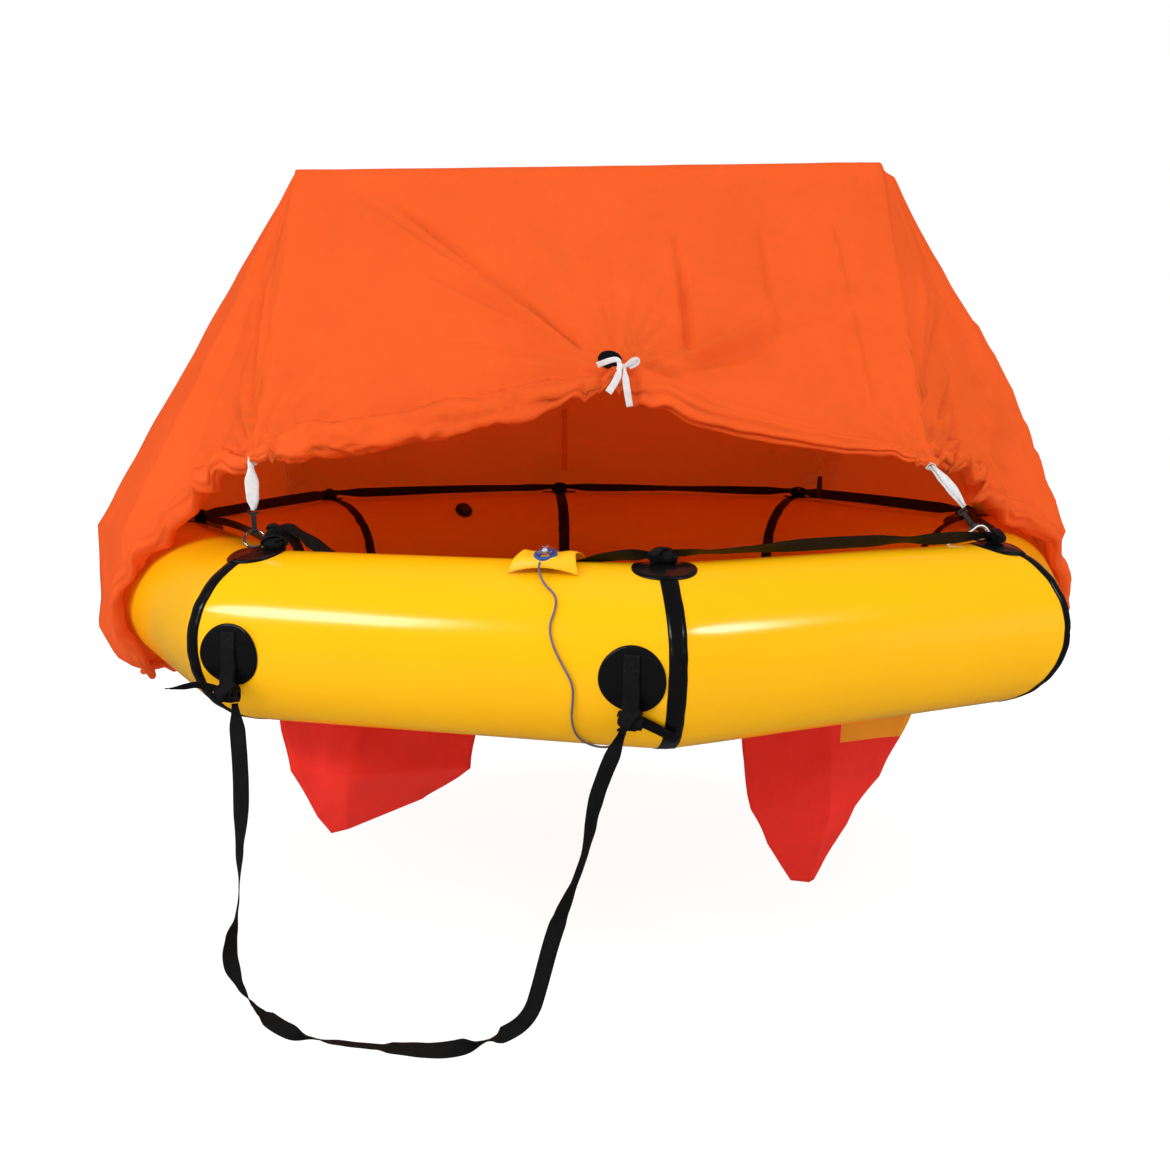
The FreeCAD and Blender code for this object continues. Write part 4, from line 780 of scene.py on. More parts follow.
def pushedOff(points, line, keep):
    # points that come nearer than keep to a line are moved out to it
    for a, b in zip(line, line[1:]):
        along = np.array(b - a)
        start = np.array(a)
        t = np.clip(((points - start) @ along) / (along @ along), 0.0, 1.0)
        away = points - (start + t[..., None] * along)
        distance = np.maximum(np.linalg.norm(away, axis=-1), 1e-6)
        push = np.maximum(keep - distance, 0.0)
        points = points + away * (push / distance)[..., None]
    return points


def gridNormals(points):
    across = np.roll(points, -1, axis=0) - np.roll(points, 1, axis=0)
    down = np.gradient(points, axis=1)
    normals = np.cross(down, across)
    size = np.maximum(np.linalg.norm(normals, axis=-1, keepdims=True), 1e-9)
    return normals / size


# creases: each runs from one point to another; depth is inwards, width is how soft it is
doorCreases = [
    # start, end, depth, width at start, width at end
    ((-0.444, -0.072, 0.946), (-0.05, -0.39, 0.606), 0.0075, 0.01, 0.005),
    ((-0.517, -0.086, 0.929), (-0.056, -0.397, 0.602), -0.0055, 0.016, 0.007),
    ((-0.402, -0.245, 0.767), (-0.057, -0.403, 0.597), -0.0045, 0.024, 0.007),
    ((-0.33, -0.225, 0.79), (-0.055, -0.395, 0.602), 0.003, 0.014, 0.005),
    ((-0.352, -0.37, 0.641), (-0.076, -0.407, 0.593), -0.0035, 0.02, 0.008),
    ((-0.3, -0.38, 0.625), (-0.07, -0.408, 0.59), 0.0035, 0.014, 0.006),
    ((-0.18, -0.1, 0.915), (-0.03, -0.37, 0.625), -0.0025, 0.03, 0.01),
    ((0.036, -0.4, 0.585), (0.139, -0.375, 0.61), 0.007, 0.006, 0.012),
    ((0.035, -0.407, 0.576), (0.304, -0.316, 0.676), -0.007, 0.008, 0.022),
    ((0.052, -0.416, 0.568), (0.295, -0.355, 0.632), 0.005, 0.008, 0.018),
    ((0.04, -0.395, 0.59), (0.23, -0.33, 0.665), 0.004, 0.006, 0.012),
    ((0.138, -0.151, 0.867), (0.1415, -0.25, 0.76), 0.0035, 0.006, 0.008),
    ((0.1415, -0.212, 0.798), (0.138, -0.366, 0.621), 0.0055, 0.008, 0.012),
    ((0.12, -0.24, 0.77), (0.118, -0.35, 0.64), -0.003, 0.012, 0.016),
    ((0.317, -0.142, 0.885), (0.311, -0.277, 0.722), 0.003, 0.007, 0.009),
    ((0.311, -0.277, 0.722), (0.29, -0.345, 0.645), -0.0035, 0.01, 0.016),
    ((0.459, -0.13, 0.901), (0.46, -0.278, 0.723), -0.0038, 0.006, 0.006),
    ((0.46, -0.278, 0.723), (0.456, -0.448, 0.52), -0.0038, 0.006, 0.008),
    ((0.33, -0.33, 0.665), (0.45, -0.3, 0.7), 0.002, 0.01, 0.014),
    ((-0.6, -0.13, 0.86), (-0.625, -0.52, 0.47), -0.004, 0.01, 0.005),
]
sideCreases = [
    ((-0.686, -0.099, 0.77), (-0.643, -0.541, 0.459), 0.0075, 0.01, 0.004),
    ((-0.65, -0.13, 0.8), (-0.64, -0.548, 0.455), -0.005, 0.012, 0.004),
    ((-0.72, -0.15, 0.69), (-0.646, -0.535, 0.46), -0.0045, 0.014, 0.005),
    ((-0.76, -0.16, 0.61), (-0.65, -0.53, 0.455), 0.0045, 0.014, 0.005),
    ((-0.8, -0.19, 0.52), (-0.655, -0.525, 0.45), -0.0035, 0.016, 0.006),
    ((-0.874, -0.201, 0.413), (-0.66, -0.56, 0.432), 0.0035, 0.014, 0.006),
    ((-0.784, -0.241, 0.452), (-0.66, -0.54, 0.44), -0.003, 0.012, 0.006),
    ((0.672, -0.143, 0.743), (0.549, -0.465, 0.499), 0.006, 0.012, 0.005),
    ((0.64, -0.12, 0.82), (0.546, -0.48, 0.485), -0.005, 0.014, 0.005),
    ((0.731, -0.182, 0.634), (0.556, -0.491, 0.457), 0.008, 0.012, 0.004),
    ((0.715, -0.165, 0.665), (0.553, -0.488, 0.465), -0.0055, 0.01, 0.004),
    ((0.76, -0.195, 0.585), (0.56, -0.487, 0.452), -0.005, 0.012, 0.005),
    ((0.793, -0.214, 0.526), (0.6, -0.45, 0.45), 0.0065, 0.014, 0.005),
    ((0.82, -0.23, 0.47), (0.59, -0.455, 0.445), -0.005, 0.016, 0.006),
    ((0.798, -0.241, 0.486), (0.704, -0.359, 0.383), -0.004, 0.008, 0.007),
    ((0.86, -0.23, 0.4), (0.65, -0.42, 0.4), 0.004, 0.014, 0.008),
]


def creaseOffset(points, creases):
    total = np.zeros(points.shape[:-1])
    for start, end, depth, widthStart, widthEnd in creases:
        a, b = np.array(start), np.array(end)
        along = b - a
        t = ((points - a) @ along) / (along @ along)
        inside = np.clip(t, 0.0, 1.0)
        away = np.linalg.norm(points - (a + inside[..., None] * along), axis=-1)
        width = widthStart + (widthEnd - widthStart) * inside
        fade = np.clip(inside / 0.25, 0.0, 1.0)
        fade = fade * fade * (3 - 2 * fade)
        near = np.clip((1.0 - inside) / 0.1, 0.35, 1.0)
        total -= 2.4 * depth * np.exp(-(away / (0.85 * width)) ** 2) * fade * near
    return total


def noiseField(points, scale, seed):
    flat = points.reshape(-1, 3)
    shift = Vector((seed, 2.3 * seed, -seed))
    values = [noise.noise(Vector(p) * scale + shift) for p in flat]
    return np.array(values).reshape(points.shape[:-1])


def canopyGrid():
    columns = canopyColumns()
    points = np.array([[tuple(p) for p in column] for column, zone, share in columns])
    zones = np.array([{"door": 0, "right": 1, "back": 2, "left": 3}[zone] for column, zone, share in columns])
    shares = np.array([share for column, zone, share in columns])
    apexFixed = np.zeros(points.shape[1])
    apexFixed[1:] = np.clip(np.arange(1, points.shape[1]) / 8.0, 0.0, 1.0)
    normals = gridNormals(points)
    rowsHere = np.arange(points.shape[1])
    c = canopySizes
    hem = np.clip((rowsHere - (c["arcRows"] + c["panelRows"])) / c["skirtRows"], 0.0, 1.0)[None, :]
    offset = creaseOffset(points, doorCreases) * (zones == 0)[:, None]
    offset += creaseOffset(points, sideCreases) * ((zones == 1) | (zones == 3))[:, None]
    # pulls that fan out from the tie and the two corners of the door, and from the two ends of the ridge
    door = (zones == 0)[:, None]
    ends = ((zones == 1) | (zones == 3))[:, None]
    left, right = doorCorner(c["doorLeft"]), doorCorner(c["doorRight"])
    fans = ((Vector((-0.012, -0.415, 0.58)), 19.0, 0.005, 0.15, 0.6, door),
            (left, 26.0, 0.0045, 0.13, 0.2, door), (right, 24.0, 0.005, 0.14, 1.1, door),
            (left, 15.0, 0.006, 0.22, 0.4, ends), (right, 17.0, 0.0075, 0.26, 1.9, ends),
            (Vector((c["ridgeLeft"], 0, ridgeHeight(c["ridgeLeft"]))), 14.0, 0.0035, 0.13, 0.9, ends),
            (Vector((c["ridgeRight"], 0, ridgeHeight(c["ridgeRight"]))), 16.0, 0.003, 0.12, 2.9, ends))
    for centre, count, depth, reach, phase, where in fans:
        away = points - np.array(centre)
        far = np.linalg.norm(away, axis=-1)
        turn = np.arctan2(away[..., 2], away[..., 0] - 0.4 * away[..., 1])
        wave = np.sin(count * turn + phase + 1.3 * np.sin(5.0 * turn)) + 0.45 * np.sin(2.3 * count * turn)
        offset += depth * wave * np.exp(-far / reach) * np.clip(far / 0.035, 0, 1) * where
    # soft folds that hang from the ridge
    hanging = np.sin(31.0 * points[..., 0] + 2.0 * np.sin(9.0 * points[..., 0]))
    hanging *= noiseField(points * (1.0, 1.0, 0.4), 3.0, 5.7)
    offset += 0.005 * hanging
    # pulls from the two lower corners of the back, seen through the door
    for cornerX, sign in ((-0.62, 1), (0.62, -1)):
        corner = np.array((cornerX, 0.66, 0.28))
        away = points - corner
        reach = np.linalg.norm(away, axis=-1)
        fan = np.sin(17.0 * np.arctan2(away[..., 2], away[..., 0] * sign))
        offset += 0.005 * fan * np.exp(-reach / 0.55) * np.clip(reach / 0.08, 0, 1) * (zones == 2)[:, None]
    # gathers that grow towards the elastic hem
    around = np.arctan2(points[..., 1], points[..., 0])
    gather = np.sin(58.0 * around + 1.6 * np.sin(7.0 * around)) + 0.5 * np.sin(97.0 * around + 0.8)
    skirted = (zones != 0)[:, None] * hem ** 1.3
    offset += 0.005 * gather * skirted
    upright = np.sin(23.0 * around + 2.0 * np.sin(3.0 * around))
    offset += 0.004 * upright * ((zones == 1) | (zones == 3))[:, None] * np.clip(hem * 2.0, 0.15, 1.0)
    offset += 0.0045 * noiseField(points, 4.5, 3.1) + 0.0016 * noiseField(points, 16.0, 8.4)
    points = points + normals * (offset * apexFixed[None, :])[..., None]
    # right end: slack cloth billows outwards
    shareDown = rowsHere / (c["arcRows"] + c["panelRows"])
    swell = np.array([profileAt(billow, min(s, 1.0)) for s in shareDown])[None, :]
    most = np.where(zones == 1, np.clip(shares / 0.3, 0.0, 1.0),
                    np.clip((shares - 0.72) / 0.28, 0.0, 1.0) * (zones == 2))
    most = most * most * (3 - 2 * most)
    points = points + np.array((0.97, 0.0, 0.24)) * (swell * most[:, None])[..., None]
    arch = archLine()
    ring = [polar(cornerAngle(i), raft["ringRadius"], raft["tubeRadius"]) for i in range(9)]
    keep = points[:, :1].copy()
    points = pushedOff(points, arch, c["archRadius"] + 0.0045)
    free = ((zones == 1) | (zones == 3)) & (shares <= c["freeColumns"] / c["fanColumns"])
    close = np.clip((rowsHere - (points.shape[1] - 9)) / 8.0, 0.0, 1.0)[None, :] * free[:, None]
    close = np.maximum(close, 0.85 * ((zones == 1) & ~free)[:, None] * np.ones(points.shape[1])[None, :])
    points = pushedOff(points, ring, raft["tubeRadius"] + 0.017 - 0.012 * close)
    points[:, :1] = keep
    return points, zones, shares


def rolledRows(column, zone, share, index):
    # rolled door, or a plain turned hem
    c = canopySizes
    last, before = Vector(column[-1]), Vector(column[-3])
    side = Vector((last.x, last.y, 0)).normalized()
    down = (last - before).normalized()
    steps = c["rollRows"]
    drop = share * c["fanColumns"] / c["freeColumns"]
    free = zone in (1, 3) and drop <= 1.0
    if zone == 0:
        outward = Vector((0, -1, 0.45))
        radius = profileAt(doorRadius, share)
    elif free:
        outward = side * (0.4 + drop) + Vector((0, -0.5, 0.9 - 1.1 * max(drop - 0.5, 0.0)))
        radius = profileAt(freeRadius, drop)
    else:
        outward = side + Vector((0, 0, 0.5)) if down.z < -0.5 else Vector((0, 0, -1))
        radius = c["hemRoll"]
    out = (outward - down * outward.dot(down)).normalized()
    # the roll is pressed flat where it has been tied up
    flat, tall = (0.62, 1.22) if zone == 0 else (1.0, 1.0)
    centre = last + out * radius * flat
    rows = []
    for k in range(1, steps + 1):
        a = math.radians(290.0 * k / steps)
        deg = 290.0 * k / steps
        if zone == 0 and share < 0.5:
            # soft roll with crossing crumples
            p = Vector((share * 17.0, a * 1.1, 2.0))
            swell = 0.16 * math.sin(2 * a + 9.0 * share) + 0.3 * noise.noise(p)
            swell += 0.22 * (0.5 - abs(noise.noise(Vector((share * 34.0 + a, a * 1.7, 7.0)))) * 2.2)
            swell -= 0.34 * math.exp(-((deg - 205.0 + 190.0 * share) / 13.0) ** 2) * min(share * 5.0, 1.0)
            swell -= 0.3 * math.exp(-((deg - 120.0 - 60.0 * share) / 9.0) ** 2) * max(0.0, share * 5.0 - 1.5)
        elif zone == 0:
            # twisted roll: folds run along it and turn slowly round
            swell = 0.1 * math.sin(2 * a + 9.0 * share)
            swell += 0.12 * noise.noise(Vector((share * 26.0, a * 1.6, 5.0)))
            for start, slope, deep, wide in c["twists"]:
                swell -= deep * math.exp(-((deg - start - slope * (share - 0.5)) / wide) ** 2)
        elif free:
            swell = 0.15 * math.sin(2 * a + 12.0 * drop)
            swell += 0.34 * noise.noise(Vector((drop * 11.0, a * 1.3, 3.0 + zone)))
            swell += 0.2 * (0.5 - abs(noise.noise(Vector((drop * 26.0 + a, a * 1.5, 9.0 + zone)))) * 2.2)
            swell -= 0.36 * math.exp(-((deg - 95.0 - 130.0 * drop) / 14.0) ** 2)
        else:
            swell = 0.25 * math.sin(index * 1.9 + a) + 0.2 * math.sin(index * 0.83 - 2 * a)
        r = radius * (1.0 + swell * min(k / 3.0, 1.0))
        rows.append(centre - out * (r * flat * math.cos(a)) + down * (r * tall * math.sin(a)))
    return rows


def makeCanopy():
    points, zones, shares = canopyGrid()
    grid = []
    for index in range(len(points)):
        column = [Vector(p) for p in points[index]]
        grid.append(column + rolledRows(column, zones[index], shares[index], index))
    width = len(grid[0])
    verts, lookup, ids = [], {}, []
    for i, column in enumerate(grid):
        line = []
        for row, p in enumerate(column):
            key = (round(p.x, 5), round(p.y, 5), round(p.z, 5)) if row == 0 else (i, row)
            if key not in lookup:
                lookup[key] = len(verts)
                verts.append(p)
            line.append(lookup[key])
        ids.append(line)
    faces = []
    for i in range(len(ids)):
        here, there = ids[i], ids[(i + 1) % len(ids)]
        for row in range(width - 1):
            quad = [here[row], here[row + 1], there[row + 1], there[row]]
            clean = [v for n, v in enumerate(quad) if v not in quad[:n]]
            if len(clean) > 2:
                faces.append(clean)
    canopy = addMesh("canopy", verts, faces, finish["canopy"])
    solidify = canopy.modifiers.new("cloth", "SOLIDIFY")
    solidify.thickness = canopySizes["thickness"]
    solidify.offset = -1.0
    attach(canopy, "raft")
    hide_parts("canopy")
    return grid


canopyLines = makeCanopy()
print("canopy built")


# floor: one sheet, drawn to the foot of the ring
floorSizes = {"height": 0.0118, "steps": 18, "around": 48, "inset": 0.046, "thickness": 0.0012}


def makeFloor():
    s = floorSizes
    rows = []
    reach = apothem - s["inset"]
    for i in range(s["around"]):
        angle = cornerAngle(0) + 360.0 * i / s["around"]
        turn = (angle + 90.0) % 45.0 - 22.5
        edge = reach / math.cos(math.radians(turn))
        line = []
        for k in range(s["steps"] + 1):
            share = k / s["steps"]
            p = polar(angle, edge * (0.004 + 0.996 * share), s["height"])
            pull = math.exp(-(1 - share) * 6.0) * math.sin(math.radians(angle) * 36) * 0.0012
            p.z += pull + 0.0008 * noise.noise(p * 6.0)
            line.append(p)
        rows.append(line)
    floor = gridMesh("floor", rows, finish["floor"], wrapRows=True, flip=True)
    mesh = bmesh.new()
    mesh.from_mesh(floor.data)
    rim = [e for e in mesh.edges if e.is_boundary and e.calc_length() < 0.002]
    bmesh.ops.contextual_create(mesh, geom=rim)
    bmesh.ops.recalc_face_normals(mesh, faces=mesh.faces[:])
    mesh.to_mesh(floor.data)
    mesh.free()
    floor.data.polygons.foreach_set("use_smooth", [True] * len(floor.data.polygons))
    solid = floor.modifiers.new("cloth", "SOLIDIFY")
    solid.thickness = s["thickness"]
    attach(floor, "raft")
    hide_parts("floor")


makeFloor()


# ballast bags: thin cloth on a short keel, open under the floor
bagSizes = {"aroundSteps": 14, "levels": 52, "thickness": 0.0009}
bagTop = ((-0.19, -0.04), (-0.02, -0.075), (0.163, -0.04), (0.11, 0.07), (0.0, 0.13), (-0.11, 0.07))
# outline of the waist, its level, and how much the keel leans
bagWaists = {
    "even": (((-0.155, -0.068), (-0.018, -0.108), (0.15, -0.062), (0.1, 0.058), (0.004, 0.104),
              (-0.095, 0.052)), 0.4, 0.0),
    "leaning": (((-0.17, -0.06), (-0.062, -0.112), (0.143, -0.07), (0.105, 0.06), (0.005, 0.1),
                 (-0.1, 0.05)), 0.5, 0.36),
    "narrow": (((-0.159, -0.06), (-0.024, -0.105), (0.038, -0.055), (0.03, 0.05), (0.0, 0.084),
                (-0.118, 0.045)), 0.6, 0.0)}
# place, depth, keel, side of the mirror, depth of the yellow panel, waist
bags = {"front_left": ((-0.43, -0.48), 0.252, (-0.092, 0.05), 1, 0.0, "leaning"),
        "front_right": ((0.395, -0.44), 0.392, (-0.056, -0.032), 1, 0.112, "narrow"),
        "rear_left": ((-0.42, 0.45), 0.24, (-0.06, 0.03), -1, 0.0, "even"),
        "rear_right": ((0.43, 0.45), 0.24, (-0.03, 0.05), -1, 0.0, "even")}


def ringPoint(outline, place):
    i = int(place) % 6
    f = place - int(place)
    a, b = outline[i], outline[(i + 1) % 6]
    return Vector((a[0] + (b[0] - a[0]) * f, a[1] + (b[1] - a[1]) * f, 0))


def makeBag(name, seed):
    (x, y), depth, keel, mirror, upper, shape = bags[name]
    bagWaist, waistLevel, lean = bagWaists[shape]
    foot = ((keel[0] - 0.012, -0.012), (keel[0] + 0.02, -0.026), (keel[1] + 0.01, -0.012),
            (keel[1] + 0.008, 0.01), (keel[0] + 0.02, 0.016), (keel[0] - 0.01, 0.01))
    steps = bagSizes["aroundSteps"] * 6
    at = Vector((x, y, 0.009))
    rows = []
    for j in range(bagSizes["levels"] + 1):
        level = j / bagSizes["levels"]
        line = []
        for i in range(steps):
            place = 6.0 * i / steps
            f = place - int(place)
            top, waist, low = ringPoint(bagTop, place), ringPoint(bagWaist, place), ringPoint(foot, place)
            if level < waistLevel:
                share = level / waistLevel
                p = top.lerp(waist, share ** 1.8 if shape == "narrow" and place > 1.0 else share)
                tilt = 0.0
            else:
                share = (level - waistLevel) / (1 - waistLevel)
                p = waist.lerp(low, share)
                tilt = lean * (low.x - keel[0]) * share
            hang = math.sin(math.pi * level)
            p *= 1.0 - (0.07 * math.sin(math.pi * f) ** 1.5 + 0.01) * hang
            p.z = -level * depth + tilt
            p.y *= mirror
            out = Vector((p.x, p.y, 0)).normalized()
            q = p + at
            fold = noise.noise(Vector((q.x * 9 + seed, q.y * 9, q.z * 4)))
            crease = 1.0 - abs(noise.noise(Vector((q.x * 13 + seed, q.y * 13, q.z * 7 - seed)))) * 3.0
            gather = math.sin(i * 1.9 + 1.3 * math.sin(i * 0.7)) * math.exp(-level * 9.0) * 0.003
            move = (0.009 * fold + 0.006 * crease * hang) * min(level * 6, 1.0) * min((1 - level) * 8, 1.0)
            line.append(q + out * (move + gather))
        rows.append(line)
    material = [finish["bag"], finish["bagUpper"]]
    kinds = []
    for j in range(bagSizes["levels"]):
        for i in range(steps):
            high = j / bagSizes["levels"] * depth < upper * 0.93
            kinds.append(1 if high and 1.1 < 6.0 * i / steps < 3.4 else 0)
    bag = gridMesh("ballast_bag_" + name, rows, material, wrapCols=True, faceMaterials=kinds,
                   flip=(mirror < 0))
    closeShell(bag, [range(steps * bagSizes["levels"], steps * (bagSizes["levels"] + 1))])
    solid = bag.modifiers.new("cloth", "SOLIDIFY")
    solid.thickness = bagSizes["thickness"]
    solid.offset = -1.0
    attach(bag, "raft")
    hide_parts("ballast_bag_" + name)


for number, bagName in enumerate(bags):
    makeBag(bagName, 3.7 + 11.0 * number)
print("floor and ballast bags built")


# lifeline: woven band from patch to patch, knotted at each
lineSizes = {"width": 0.025, "thick": 0.0017, "knotLength": 0.046, "knotRadius": 0.0105, "spanSteps": 60}


def patchSeat(index):
    shift = raft["sideShift"] if index in (2, 6) else 0.0
    height = raft["tubeRadius"] + math.sqrt(raft["patchSkin"] ** 2 - (shift * math.cos(math.pi / 8)) ** 2)
    return polar(cornerAngle(index), raft["ringRadius"] - shift, height)


def patchNormal(index):
    shift = raft["sideShift"] if index in (2, 6) else 0.0
    return polar(cornerAngle(index), -shift * math.cos(math.pi / 8) ** 2,
                 patchSeat(index).z - raft["tubeRadius"]).normalized()


def knotPlace(index):
    shift = {1: 0.012, 7: 0.016}.get(index, 0.0)
    return patchSeat(index) + Vector((shift, -shift * 0.4, 0))


def makeKnot(name, place, size, seed):
    # wraps of folded band round a core, and one wrap that crosses them
    half = size["length"] / 2
    radius = size["radius"]
    pieces = []
    turns = 3
    steps = 26 * turns
    path = []
    for i in range(steps + 1):
        t = i / steps
        a = 2 * math.pi * turns * t + seed
        swell = radius * (0.86 + 0.16 * math.sin(math.pi * t) + 0.1 * math.sin(3 * a + 2 * seed))
        path.append(place @ Vector((swell * math.cos(a), (t - 0.5) * half * 1.25,
                                    swell * 0.92 * math.sin(a))))
    axis = (place.to_3x3() @ Vector((0, 1, 0))).normalized()
    normal = (place.to_3x3() @ Vector((0, 0, 1))).normalized()
    pieces.append(bandAlong(name + "_wraps", path, lambda i, t: axis + normal * 0.12 * math.sin(i * 0.33),
                            half * 0.78, size["fold"], finish["webbing"], crumple=0.0009))
    cross = []
    for i in range(31):
        t = i / 30
        a = math.pi * (0.08 + 0.9 * t)
        cross.append(place @ Vector((radius * 1.22 * math.cos(a), (t - 0.5) * half * 1.5,
                                     radius * 1.3 * math.sin(a) + 0.0006)))
    lean = (place.to_3x3() @ Vector((0.5, 1, 0.0))).normalized()
    pieces.append(bandAlong(name + "_cross", cross, lambda i, t: lean, half * 0.62, size["fold"],
                            finish["webbing"], crumple=0.0007))
    core = []
    for i in range(17):
        t = i / 16
        core.append(place @ Vector((0.0015 * math.sin(6 * t + seed), (t - 0.5) * size["length"],
                                    0.0012 * math.cos(5 * t))))
    ring = []
    frameX = (place.to_3x3() @ Vector((1, 0, 0))).normalized()
    for i, p in enumerate(core):
        t = i / 16
        r = radius * (0.3 + 0.58 * math.sin(math.pi * t) ** 0.5)
        ring.append([p + frameX * (r * math.cos(2 * math.pi * k / 16) * 1.1) + normal *
                     (r * math.sin(2 * math.pi * k / 16) * 0.85) for k in range(16)])
    pieces.append(gridMesh(name + "_core", ring, finish["webbing"], wrapCols=True,
                           uvRows=lambda a, b: (a * size["length"] / 16, b * 0.0042)))
    return pieces


tailWidths = ((0.0, 0.45), (0.25, 1.0), (1.0, 1.0))


def moved(points, shift):
    return [Vector(p) + Vector(shift) for p in points]


def tailBand(name, points, turns, width=0.025, steps=36, up=Vector((0, 0, 1)), widths=tailWidths):
    line = splinePoints(points, steps)

    def across(i, tangent):
        flat = tangent.cross(up).normalized()
        return Matrix.Rotation(turnAt(turns, i / steps), 3, tangent) @ flat
    return bandAlong(name, line, across, width, lineSizes["thick"], finish["webbing"], crumple=0.0003,
                     widths=widths)


spanTurns = {
    0: [(0.0, 62), (0.1, 20), (0.2, 30), (0.4, 62), (0.6, 58), (0.72, 30), (0.82, 62), (1.0, 60)],
    1: [(0.0, 70), (0.2, 40), (0.5, 25), (0.8, 40), (1.0, 60)],
    2: [(0.0, 60), (0.25, 80), (0.55, 68), (0.85, 75), (1.0, 60)],
    3: [(0.0, 60), (0.2, 55), (0.5, 30), (0.8, 50), (1.0, 60)],
    4: [(0.0, 60), (0.2, 40), (0.5, 52), (0.8, 65), (1.0, 60)],
    5: [(0.0, 60), (0.2, 70), (0.5, 60), (0.8, 50), (1.0, 60)],
    6: [(0.0, 60), (0.3, 50), (0.6, 55), (0.85, 60), (1.0, 50)]}


def makeLifeline():
    size = {"length": lineSizes["knotLength"], "radius": lineSizes["knotRadius"], "fold": 0.0042}
    pieces = []
    for index in range(8):
        normal = patchNormal(index)
        axis = polar(cornerAngle(index) + 90.0, 1.0)
        centre = knotPlace(index) + normal * 0.0085
        pieces += makeKnot("knot%d" % index, axesAt(centre, axis.cross(normal), normal), size,
                           0.9 * index + 0.4)
    for index in range(7):
        start, end = knotPlace(index) + Vector((0, 0, 0.014)), knotPlace(index + 1) + Vector((0, 0, 0.014))
        along = (end - start).normalized()
        inward = -sideAxes(index)[0]
        reach = along * (lineSizes["knotLength"] / 2 - 0.008)
        a, b = start + reach, end - reach
        route = [a]
        for t, inn, dz in ((0.12, 0.001, -0.002), (0.3, 0.006, 0.0), (0.5, 0.009, 0.001), (0.7, 0.006, 0.0),
                           (0.88, 0.001, -0.002)):
            route.append(a.lerp(b, t) + inward * inn + Vector((0, 0, dz)))
        route.append(b)
        line = splinePoints(route, lineSizes["spanSteps"])

        def across(i, tangent, turns=spanTurns[index]):
            flat = tangent.cross(Vector((0, 0, 1))).normalized()
            return Matrix.Rotation(-turnAt(turns, i / lineSizes["spanSteps"]), 3, tangent) @ flat
        pieces.append(bandAlong("span%d" % index, line, across, lineSizes["width"], lineSizes["thick"],
                                finish["webbing"], crumple=0.0004,
                                widths=((0.0, 0.5), (0.12, 1.0), (0.88, 1.0), (1.0, 0.5))))
    # loose ends: one behind the front middle knot, two at the front left one, small ones at the rear
    front = knotPlace(0)
    pieces.append(tailBand("tailFront",
                           moved([(-0.016, 0.004, 0.012), (-0.05, 0.018, 0.012), (-0.095, 0.04, 0.004),
                                  (-0.125, 0.062, -0.006)], front), [(0, 60), (0.5, 40), (1, 12)]))
    # at the front left the knot stands up, leans over, and its two ends arch away
    pieces.append(tailBand("tailStub",
                           [(-0.611, -0.618, 0.289), (-0.613, -0.616, 0.299), (-0.611, -0.614, 0.309),
                            (-0.601, -0.611, 0.313)], [(0, 80), (1, 60)], 0.021, 20,
                           widths=((0.0, 0.9), (0.5, 0.6), (1.0, 0.8))))
    arm = axesAt(Vector((-0.604, -0.61, 0.3105)), (0.9, 0.2, -0.1), (0, -0.4, 0.9))
    pieces += makeKnot("knotArm", arm, {"length": 0.03, "radius": 0.0085, "fold": 0.0036}, 4.4)
    pieces.append(tailBand("tailLeftLong",
                           [(-0.596, -0.606, 0.315), (-0.584, -0.603, 0.317), (-0.566, -0.599, 0.307),
                            (-0.542, -0.593, 0.286), (-0.508, -0.585, 0.269)],
                           [(0, 70), (0.35, 40), (0.6, 66), (1, 20)], 0.024))
    pieces.append(tailBand("tailLeftShort",
                           [(-0.598, -0.608, 0.311), (-0.586, -0.604, 0.309), (-0.573, -0.598, 0.296),
                            (-0.564, -0.59, 0.27)], [(0, 60), (1, 70)]))
    rear = knotPlace(5)
    pieces.append(tailBand("tailRear",
                           moved([(-0.004, -0.006, 0.012), (-0.012, -0.022, 0.01),
                                  (-0.016, -0.036, -0.004)], rear), [(0, 60), (1, 60)], 0.012, 14))
    lifeline = joinPieces("lifeline", pieces)
    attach(lifeline, "raft")
    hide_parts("lifeline")


makeLifeline()
print("lifeline built")


# side patches: webbing loop sewn to the patch, the strap's knot, and its loose ends
sideSizes = {"left": 0.012 - halfSide, "right": halfSide - 0.01, "skin": 0.1423, "webWidth": 0.025}


def sidePoint(side, out, along, z):
    axisOut, axisAlong, middle = sideAxes(7)
    return middle + axisAlong * (sideSizes[side] + along) + axisOut * out + Vector((0, 0, z))


def sideArc(side, angle, lift=0.0, along=0.0):
    a = math.radians(angle)
    r = sideSizes["skin"] + lift
    return sidePoint(side, r * math.cos(a), along, r * math.sin(a))


